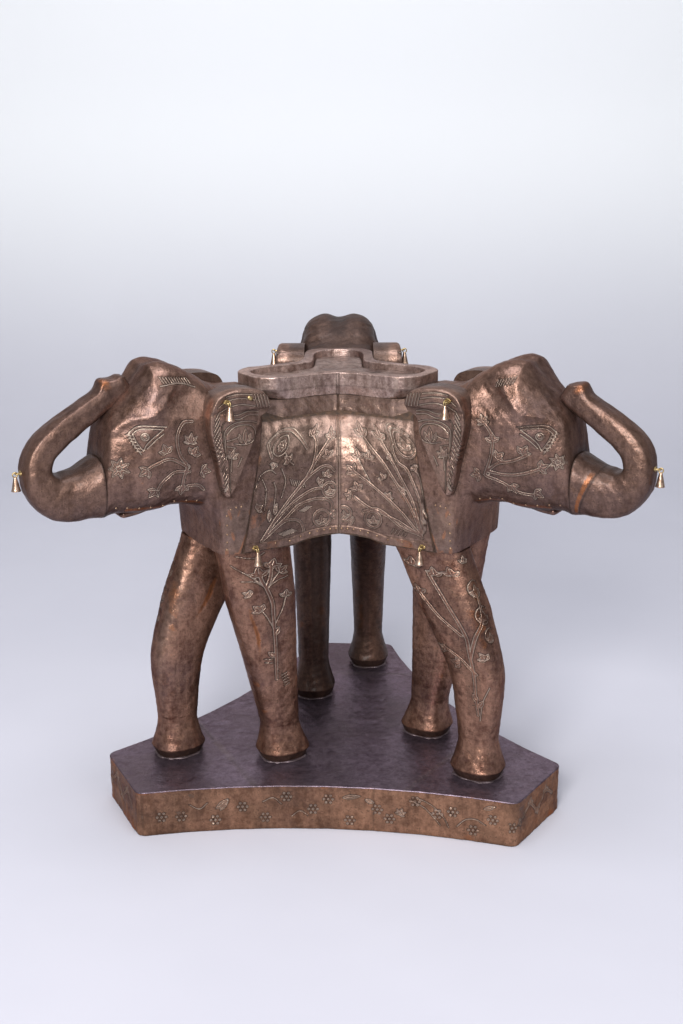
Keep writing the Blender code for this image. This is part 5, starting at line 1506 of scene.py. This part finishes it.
# %% Tray skin
tray_row = np.arange(len(tray_radii))[:, None]
on_side = tray_row < len(below) + len(side)
flat_x, flat_y = tray_rings[..., 0] * 1000, tray_rings[..., 1] * 1000
pulled_x = flat_x + 7 * np.sin(flat_y / 15 + 1.3) + 4 * np.sin(flat_x / 9 + flat_y / 6)
pulled_y = flat_y + 7 * np.sin(flat_x / 17 + 0.4) + 4 * np.sin(flat_y / 8 - flat_x / 11)
crease = (np.abs(np.sin(pulled_x / 13)) + np.abs(np.sin((pulled_x * 0.5 - pulled_y) / 11 + 1))
          + 0.6 * np.abs(np.sin((pulled_x + pulled_y * 0.7) / 7)))
in_floor = np.concatenate([np.zeros(len(tray_grow)), step_up(1 - floor_share, 0.0, 0.06)])[:, None]
tray_rings[..., 2] += (1.15 * crease * in_floor + 0.20 * hammered(tray_rings)) * 0.001
tray_seam = seam_away(tray_edge(0, 0))
tray_rings = beaten(tray_rings, on_side * -0.4 * bump(tray_seam - 1, 0.8))
scratches = on_side * bump(np.sin(table_turns * 37) + np.sin(table_turns * 61 + 2) - 1.5, 0.25)[None]
tray_marks = {
    "chase": 0.5 * scratches + 0.4 * bump(crease - 2.2, 0.12) * in_floor,
    "bare": 0.25 * bump(tray_row - len(below) - len(side) - 1, 2.2),
    # soot: dark seams, a darker floor and crease valleys, the floor's edge, and painted shade just under the
    # tray's side where the undercut begins
    "soot": on_side * 0.8 * bump(tray_seam - 1, 0.9) + (0.46 + 0.50 * bump(crease - 0.5, 0.35)) * in_floor
    + 0.5 * bump(tray_row - len(tray_grow), 2.5) + 0.60 * bump(tray_levels - shelf, 0.0012)[:, None],
}
skin("tray_sheet", tray_rings, TRAY, tray_marks, stands_for=["tray"])
print("creases up to", crease.max().round(1), "mm high")

# %% [markdown]
# The plinth is a wooden slab with a sheet on top and a band round its edge. Its outline is a triangle
# with cut-off corners and hollow sides. Points along it are spread by equal lengths, so the drawing on
# the band is not stretched, and their normals move the outline in and out for the rounded edge.

# %% Plinth outline
def plinth_outline(count):
    """Equal steps along three arm ends and three hollow sides, whose corners are replaced by arcs."""
    ends = []
    for angle in ELEPHANTS.values():
        ahead = np.array([math.cos(angle), math.sin(angle)])
        across = np.array([-ahead[1], ahead[0]])
        ends.append([ahead * PLINTH_REACH + across * PLINTH_END_HALF * way for way in (-1, 1)])
    share = np.linspace(0, 1, 9)[1:-1, None]
    points, corner = [], []
    for arm, (right, left) in enumerate(ends):
        chord = ends[(arm + 1) % 3][0] - left
        inward = np.array([-chord[1], chord[0]]) / np.linalg.norm(chord)
        points += [right, left, *(left + chord * share + inward * 4 * share * (1 - share) * PLINTH_HOLLOW)]
        corner += [True, True] + [False] * len(share)
    points = np.array(points)
    back, ahead = (unit(np.roll(points, way, 0) - points) for way in (1, -1))
    half = np.arccos(np.sum(back * ahead, 1, keepdims=True)) / 2
    middle = points + unit(back + ahead) * PLINTH_CORNER / np.sin(half)
    first, last = (points + one * PLINTH_CORNER / np.tan(half) - middle for one in (back, ahead))
    sweep = np.linspace(0, 1, 9)[:, None]
    path = []
    for index, is_corner in enumerate(corner):
        arc = first[index] * (1 - sweep) + last[index] * sweep
        arc = middle[index] + unit(arc) * PLINTH_CORNER
        path.append(arc if is_corner else points[index:index + 1])
    path = np.vstack(path + [path[0][:1]])
    run = run_along(path)
    at = np.arange(count) / count * run[-1]
    line = np.column_stack([np.interp(at, run, path[:, 0]), np.interp(at, run, path[:, 1])])
    return line @ spin(math.degrees(PLINTH_TURN)) + PLINTH_SHIFT, at * 1000


EDGE_STEPS = 1150
plinth_line, plinth_run = plinth_outline(EDGE_STEPS)
plinth_tangent = unit(np.roll(plinth_line, -2, 0) - np.roll(plinth_line, 2, 0))
plinth_normal = np.column_stack([plinth_tangent[:, 1], -plinth_tangent[:, 0]])
print("plinth edge", round(plinth_run[-1]), "mm round")

# %% [markdown]
# On the band, punched dot flowers and thin stems wander along each hollow side, and a wave of leaves runs
# over each arm end. One long drawing covers the three sides; it starts again at every arm.

# %% Band chasing
side_length = plinth_run[-1] * (1 + 1 / EDGE_STEPS) / 3
edge_run = plinth_run % side_length
BAND_FLOWERS = [
    (3, 20), (123, 19), (142, 18), (175, 12), (202, 25), (224, 13), (245, 35), (271, 22), (286, 33),
    (307, 11), (334, 24), (346, 15), (371, 36), (393, 25), (408, 29), (428, 12), (447, 26),
]
band_shapes = [
    *vine((20, 26), (34, 34), (50, 22), (68, 33), (84, 24)), *trefoil((34, 33), 80, 8),
    *trefoil((50, 23), -80, 8), *trefoil((68, 32), 85, 8), *trefoil((16, 24), 200, 7),
    *leaf((176, 24), 40, 16, 0.14), *leaf((180, 22), 52, 14, 0.14), *leaf((300, 35), 8, 18, 0.12),
    *scratch((366, 37), (380, 30), (390, 20), (396, 13)), *sprig((356, 20), 70, 8),
    *scratch((372, 40), (388, 33), (399, 22), (404, 12)), *scratch((222, 30), (232, 34), (240, 27)),
    *scratch((250, 14), (258, 20), (266, 15)), *scratch((150, 30), (160, 25), (168, 31)),
    *leaf((322, 34), -20, 10, 0.2), *scratch((412, 14), (420, 22), (430, 24), (440, 19)),
    *leaf((438, 36), 20, 12, 0.16),
]
for flower in BAND_FLOWERS:
    band_shapes += dots(flower, 4.3, 6, 1.05)
print("band drawing of", len(band_shapes), "paths on", round(side_length), "mm")

# %% [markdown]
# The band is a tube of rings: up its outer face, then two more inside the sheet's thickness. Rust and
# dirt lie in wide patches, the upper edge is rubbed, and two upright joints cross each side.

# %% Plinth band
BAND_ROWS, BAND_JOINTS = 56, (104, 330)
band_level = np.linspace(BAND_LIFT, PLINTH_HEIGHT - PLINTH_SHEET - GAP, BAND_ROWS)[:, None]
band_up = band_level * 1000
band_sheet = inked(band_shapes, (-6, -2), (side_length + 6, 49))
band_line = read_ink(band_sheet, edge_run, band_up)
joint_away = np.min([np.abs(edge_run - one) for one in BAND_JOINTS], 0)
band_flat = raised(plinth_line, 0.0)
band_rings = raised(plinth_line + 0 * band_line[..., None], band_level)
band_wide = hammered(band_rings * 0.35)
band_out = chased(band_line, 0.30, 0.30) - 0.35 * bump(joint_away, 0.8) - 0.4
band_out = band_out + 0.30 * hammered(band_rings) + 0.25 * band_wide
wide_normal = raised(plinth_normal, 0.0)
band_rings = band_rings + wide_normal * band_out[..., None] * 0.001
inner_rings = band_flat - wide_normal * PLINTH_SHEET + band_level[[-1, 0]][..., None] * [0, 0, 1]
band_marks = {
    "vine": drawn(band_line),
    "chase": 0.5 * step_up(-band_line, 0.2, 0.7),
    "bare": 0.42 * bump(band_up - 46, 2.5) + 0.34 * bump(band_up, 6) + 0.40 * step_up(band_wide, 0.2, 0.9),
    "soot": 0.55 * bump(joint_away, 0.8) + 0.40 * step_up(-band_wide, 0.1, 0.9) + 0.35 * bump(band_up, 2.5),
}
inner_mark = np.full((2, EDGE_STEPS), 0.9)
band_marks = {key: np.concatenate([one + 0 * band_line, inner_mark]) for key, one in band_marks.items()}
skin("plinth_band_sheet", np.concatenate([band_rings, inner_rings]), BAND, band_marks,
     stands_for=["plinth_edge_band"], tube=True)
print("band", band_rings.shape)

# %% [markdown]
# The top is smooth purple-brown sheet, seamed across each arm. It is the outline shrunk towards the
# middle in rows, with its edge folded over the band and a shallow groove along each seam.

# %% Plinth top
FOLD, TOP_ROWS, TOP_SEAM = 0.0010, 70, 137
top_line, top_normal = plinth_line[::2], plinth_normal[::2]
fold_turn = np.linspace(0, math.pi / 2, 5)
top_share = np.concatenate([np.ones(6), np.linspace(1, 0.01, TOP_ROWS)[1:]])[:, None, None]
top_inset = FOLD * np.concatenate([[1], 1 - np.cos(fold_turn), np.ones(TOP_ROWS - 1)])[:, None, None]
top_drop = FOLD * np.concatenate([[1], 1 - np.sin(fold_turn), np.zeros(TOP_ROWS - 1)])[:, None]
top_flat = (top_line - PLINTH_SHIFT) * top_share + PLINTH_SHIFT - top_normal * top_inset
top_rings = raised(top_flat, PLINTH_HEIGHT - top_drop)
headings = np.array(list(ELEPHANTS.values())) + PLINTH_TURN
along_arm = top_rings[..., :2] @ np.array([np.cos(headings), np.sin(headings)]) * 1000
top_seam = np.abs(along_arm - TOP_SEAM).min(-1)
inside = (np.arange(len(top_share)) > 6)[:, None]
top_rings[..., 2] += (0.22 * hammered(top_rings) - 0.35 * bump(top_seam, 1.2)) * inside * 0.001
top_wide = hammered(top_rings * 0.3)
top_marks = {
    "chase": 0.25 * bump(top_seam - 1.6, 0.8),
    "bare": 0.30 * bump(np.arange(len(top_share)) - 4, 2)[:, None] + 0.12 * step_up(top_wide, 0.2, 0.9),
    "soot": 0.6 * bump(top_seam, 1.1) + 0.18 * step_up(-top_wide, 0.1, 0.9),
}
skin("plinth_top", top_rings, SLAB, top_marks, stands_for=["plinth_top_sheet"])
print("top", top_rings.shape)

# %% [markdown]
# Fifteen small bells hang on wire: one at each trunk bend, one at each ear and one at each hem corner.
# A Screw modifier could spin the profile; rings do the same and close the wall inside. The frame's hinges
# say where each bell turns, so it is worked out round the origin and set there. It rides on its own body
# and swings; the staple it hangs from and the knot of wire behind it stay with the table.

# %% Bell form
BELL_LENGTH, BELL_MOUTH, BELL_NECK, BELL_WALL, BELL_SIDES = 0.0125, 0.0044, 0.0014, 0.0008, 28
EYE_RADIUS, WIRE_RADIUS, STAPLE_HALF, STAPLE_REACH = 0.0022, 0.0006, 0.0019, 0.0062
eye_drop = EYE_RADIUS - 2 * WIRE_RADIUS - GAP
bell_top = -eye_drop - EYE_RADIUS
bell_share = np.linspace(0, 1, 16)
bell_waist = BELL_MOUTH * np.array([0.40, 0.60, 0.84, 1.0])
bell_outer = profile([0, 0.12, 0.40, 0.80, 1.0], [BELL_NECK, *bell_waist], bell_share)
bell_inner = bell_outer[::-1][:11] - BELL_WALL
bell_radius = np.concatenate([[BELL_NECK * 0.4], bell_outer, [BELL_MOUTH * 0.97], bell_inner])
bell_level = bell_top - BELL_LENGTH * np.concatenate([[-0.03], bell_share, [1.02], bell_share[::-1][:11]])
bell_rings = raised(about((0, 0), bell_radius[:, None], full_turn(BELL_SIDES)), bell_level[:, None])
# painted shade: the inner wall of the cup is darker
bell_inside_shade = 0.7 * (np.arange(len(bell_level)) > len(bell_share) + 1)[:, None]
print("bell of", len(bell_rings), "rings,", round(2000 * BELL_MOUTH, 1), "mm across the mouth")

# %% [markdown]
# The wire pieces are a round section carried along a path: a full circle for the bell's eye, a bow with
# two legs for the staple, and a loose tangle of four turns for the knot behind it.

# %% Wire forms
KNOT_RADIUS, KNOT_TURNS = 0.00036, 4.3


def carried(path, radius, sides):
    """Round wire along a path: each ring lies across the path's direction, kept level by one fixed vector."""
    run = unit(np.gradient(path, axis=0))
    aside = unit(np.cross(run, [0.213, 0.377, 0.901]))
    circle = about((0, 0), radius, full_turn(sides))
    return path[:, None] + np.einsum("sk,kpj->psj", circle, np.stack([aside, np.cross(run, aside)]))


eye_path = raised(about((-eye_drop, 0), EYE_RADIUS, full_turn(28)), 0.0)[:, [2, 1, 0]]
bow = np.linspace(0, math.pi, 17)
staple_leg = np.array([(STAPLE_HALF, -STAPLE_REACH * 0.6), (STAPLE_HALF, -STAPLE_REACH)])
staple_bow = STAPLE_HALF * np.column_stack([-np.cos(bow), np.sin(bow) - 1])
staple_path = raised(np.concatenate([staple_leg[::-1] * [-1, 1], staple_bow, staple_leg]), 0.0)
knot_run = np.linspace(0, 1, 110)
knot_turn = knot_run * 2 * math.pi * KNOT_TURNS
knot_path = np.column_stack([(2.2 + 0.7 * np.sin(knot_turn * 0.37)) * np.cos(knot_turn),
                             -5.9 + 1.5 * knot_run + 0.25 * np.sin(knot_turn * 1.7),
                             (1.6 + 0.8 * np.cos(knot_turn * 0.61)) * np.sin(knot_turn)]) * 0.001
eye_rings, staple_rings = (carried(path, WIRE_RADIUS, 8) for path in (eye_path, staple_path))
knot_rings = carried(knot_path, KNOT_RADIUS, 6)
print("eye, staple and knot of", [len(one) for one in (eye_rings, staple_rings, knot_rings)], "rings")

# %% [markdown]
# A hinge has a place and an axis. With the upright they give three directions, and one product turns a
# form made round the origin to its hinge.

# %% Hanging the bells
for joint in frame["joints"]:
    bell = joint["name"].replace("_swing", "")
    pivot = np.array(joint["pos_m"], float)
    axis = np.array(joint["axis"], float)
    axes = np.array([axis, np.cross([0, 0, 1], axis), [0, 0, 1]])
    cup, eye, staple, knot = (pivot + one @ axes for one in (bell_rings, eye_rings, staple_rings, knot_rings))
    skin(f"{bell}_cup", cup, BELL, {"soot": bell_inside_shade}, body=bell, stands_for=[bell])
    skin(f"{bell}_eye", eye, BRASS, body=bell, tube=True)
    skin(f"{bell}_staple_wire", staple, BRASS, stands_for=[f"{bell}_staple"])
    skin(f"{bell}_knot", knot, BRASS)

# %% [markdown]
# The sheets are held by small round-headed nails along the flanks' hems, under the jaws and down the
# shoulders. A nail head is a low dome with few faces, repeated along a line, with one side's nails in one
# mesh.

# %% Nail form
NAIL_RADIUS, NAIL_SQUASH = 0.0011, 0.7
dome_share = np.array([1.0, 0.92, 0.62, 0.12])[:, None]
dome = raised(about((0, 0), dome_share, full_turn(8)), np.sqrt(1 - dome_share ** 2))


def nails_at(places, normals):
    """Domes set on points, each turned so that its axis lies along the normal there."""
    aside = unit(np.cross(normals, [0.1, 0.2, 0.97]))
    axes = np.stack([aside, np.cross(normals, aside), normals * NAIL_SQUASH], 1)
    return places[:, None, None] + NAIL_RADIUS * np.einsum("rsk,nkj->nrsj", dome, axes)


print("a nail head has", dome.shape[0] * dome.shape[1], "points")

# %% [markdown]
# Hem nails follow the belly's arch on the flank sheet. Jaw and shoulder nails are given in millimetres
# ahead of the neck joint and above the seat, and each one takes the place and the normal of the nearest
# point of the head's grid.

# %% Hem, jaw and shoulder nails
NAIL_LIFT, NAIL_PROUD = 0.0045, 0.0004
JAW_AHEAD = np.array([36, 46, 57, 68, 79, 90, 101, 111])
JAW_LIFT = np.array([9, 8, 8, 8, 8, 9, 9, 10])
SHOULDER_AHEAD = np.array([14, 14, 14, 14, 14, 10, 5, 0])
SHOULDER_RISE = np.array([5, 13, 21, 30, 39, 45, 46, 47])
hem_edge = np.arctan2(body_half(0.005), BODY_ARM - PANEL_MARGIN)
hem_angle = hem_edge + (panel_seam - hem_edge) * np.linspace(0.06, 0.95, 9)
hem_places, hem_normals = flank_place(hem_angle, belly_height(hem_angle) + PANEL_HEM_LIFT + NAIL_LIFT)
hem_nails = nails_at(hem_places + hem_normals * (GAP + PANEL_SHEET + NAIL_PROUD), hem_normals)
jaw_rise = head_bottom(JAW_AHEAD / (HEAD_LENGTH * 1000)) * 1000 + JAW_LIFT
nail_x, nail_z = np.concatenate([JAW_AHEAD, SHOULDER_AHEAD]), np.concatenate([jaw_rise, SHOULDER_RISE])
on_right = head_side < 0.012
nail_gap = (head_x[..., None] - nail_x) ** 2 + (head_z[..., None] - nail_z) ** 2 + 1e6 * on_right[..., None]
nearest = np.argmin(nail_gap.reshape(-1, len(nail_x)), axis=0)
head_nails = nails_at(head_rings.reshape(-1, 3)[nearest], head_normal.reshape(-1, 3)[nearest])
side_nails = np.concatenate([hem_nails, head_nails])
for name, mirror in SIDES.items():
    on_elephants(f"{name}_hem_nails", side_nails, NAIL, mirror=mirror)
print(6 * len(side_nails), "nails")

# %% [markdown]
# Two solids still show as they are: the slab under the plinth's sheets and the body block, of which only
# slits and the belly can be seen. They get the dark timber finish.

# %% Solids that stay
for node in ("plinth_core", "body_block"):
    solid = frame["nodes"][node]
    solid.data.materials.clear()
    solid.data.materials.append(WOOD)
print("kept:", [name for name, node in frame["nodes"].items() if not node.hide_render])

# %% [markdown]
# The table was shown on pale lavender cloth in soft daylight. A wide floor that curves up far behind
# gives that: a strip of cross lines from front to back, grey near the table and painted paler up the
# curve, as light on the backdrop.

# %% Floor
FLOOR_HALF, CURVE_START, CURVE_RADIUS, FLOOR_TOP = 3.5, 1.2, 0.8, 4.0
curve = np.linspace(0, math.pi / 2, 40)
floor_y = np.concatenate([[-3.0, -1.0, 0.0, 0.8], CURVE_START + CURVE_RADIUS * np.sin(curve), [2.0]])
floor_z = np.concatenate([np.zeros(4), CURVE_RADIUS * (1 - np.cos(curve)), [FLOOR_TOP]])
floor_x = np.tile([-FLOOR_HALF, FLOOR_HALF], len(floor_y))
floor_points = np.column_stack([floor_x, np.repeat(floor_y, 2), np.repeat(floor_z, 2)])
floor_faces = np.arange(len(floor_y) - 1)[:, None] * 2 + [0, 1, 3, 2]
floor_mesh = bpy.data.meshes.new("cloth_floor")
floor_mesh.from_pydata(floor_points.tolist(), [], floor_faces.tolist())
floor_mesh.shade_smooth()
cloth, wire, shader = open_finish("cloth")
weave = grain(wire, 3.0, 3.0)
place = wire.make("ShaderNodeTexCoord", {}, {}, "Object")
height = wire.make("ShaderNodeSeparateXYZ", {}, {"Vector": place}, 2)
ground = weave.colour((0.490, 0.496, 0.566), (0.545, 0.550, 0.616))
wire.dress(shader, {
    # painted light: the cloth's colour gets paler with height
    "Base Color": height.rise(0.0, 0.7).colour(ground, (0.90, 0.93, 0.955)),
    "Roughness": 0.9,
    "Normal": dented(wire, weave, 0.25, 0.02),
})
floor_mesh.materials.append(cloth)
floor = bpy.data.objects.new("cloth_floor", floor_mesh)
bpy.context.scene.collection.objects.link(floor)
print("floor", 2 * FLOOR_HALF, "m wide")

# %% [markdown]
# Daylight came mostly from a window to the front left. A weaker one stands to the right, a broad soft
# light hangs above the table, one more brightens the cloth behind it, and a faint sky fills the shadows.

# %% Light
def soft_window(name, place, aim, size, power, tone):
    """Square area light that looks at a point."""
    light = bpy.data.lights.new(name, "AREA")
    light.size = size
    light.energy = power
    light.color = tone
    lamp = bpy.data.objects.new(name, light)
    lamp.location = place
    lamp.rotation_euler = (Vector(aim) - Vector(place)).to_track_quat("-Z", "Y").to_euler()
    bpy.context.scene.collection.objects.link(lamp)


soft_window("left_window", (-0.55, -2.2, 1.45), (0, 0, 0.3), 0.9, 66, (1.0, 0.97, 0.94))
soft_window("right_window", (1.3, -1.7, 1.6), (0, 0, 0.3), 1.1, 9, (0.98, 0.98, 1.0))
soft_window("sky_window", (-0.1, -0.4, 2.3), (0, 0, 0.2), 1.3, 30, (0.98, 0.97, 1.0))
soft_window("cloth_window", (0.0, 0.7, 2.9), (0, 2.0, 1.0), 2.0, 15, (0.98, 0.98, 1.0))
world = bpy.data.worlds.new("studio")
world.use_nodes = True
sky = world.node_tree.nodes["Background"]
Wire(world.node_tree).dress(sky, {"Color": (0.90, 0.91, 0.96, 1), "Strength": 0.20})
bpy.context.scene.world = world
bpy.context.scene.view_settings.view_transform = "Standard"
print("lights:", [one.name for one in bpy.data.lights])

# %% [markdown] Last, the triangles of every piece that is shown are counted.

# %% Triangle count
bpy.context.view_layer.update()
shown = [one.data for one in bpy.data.objects if one.type == "MESH" and not one.hide_render]
print("triangles:", sum(len(mesh.loops) - 2 * len(mesh.polygons) for mesh in shown))
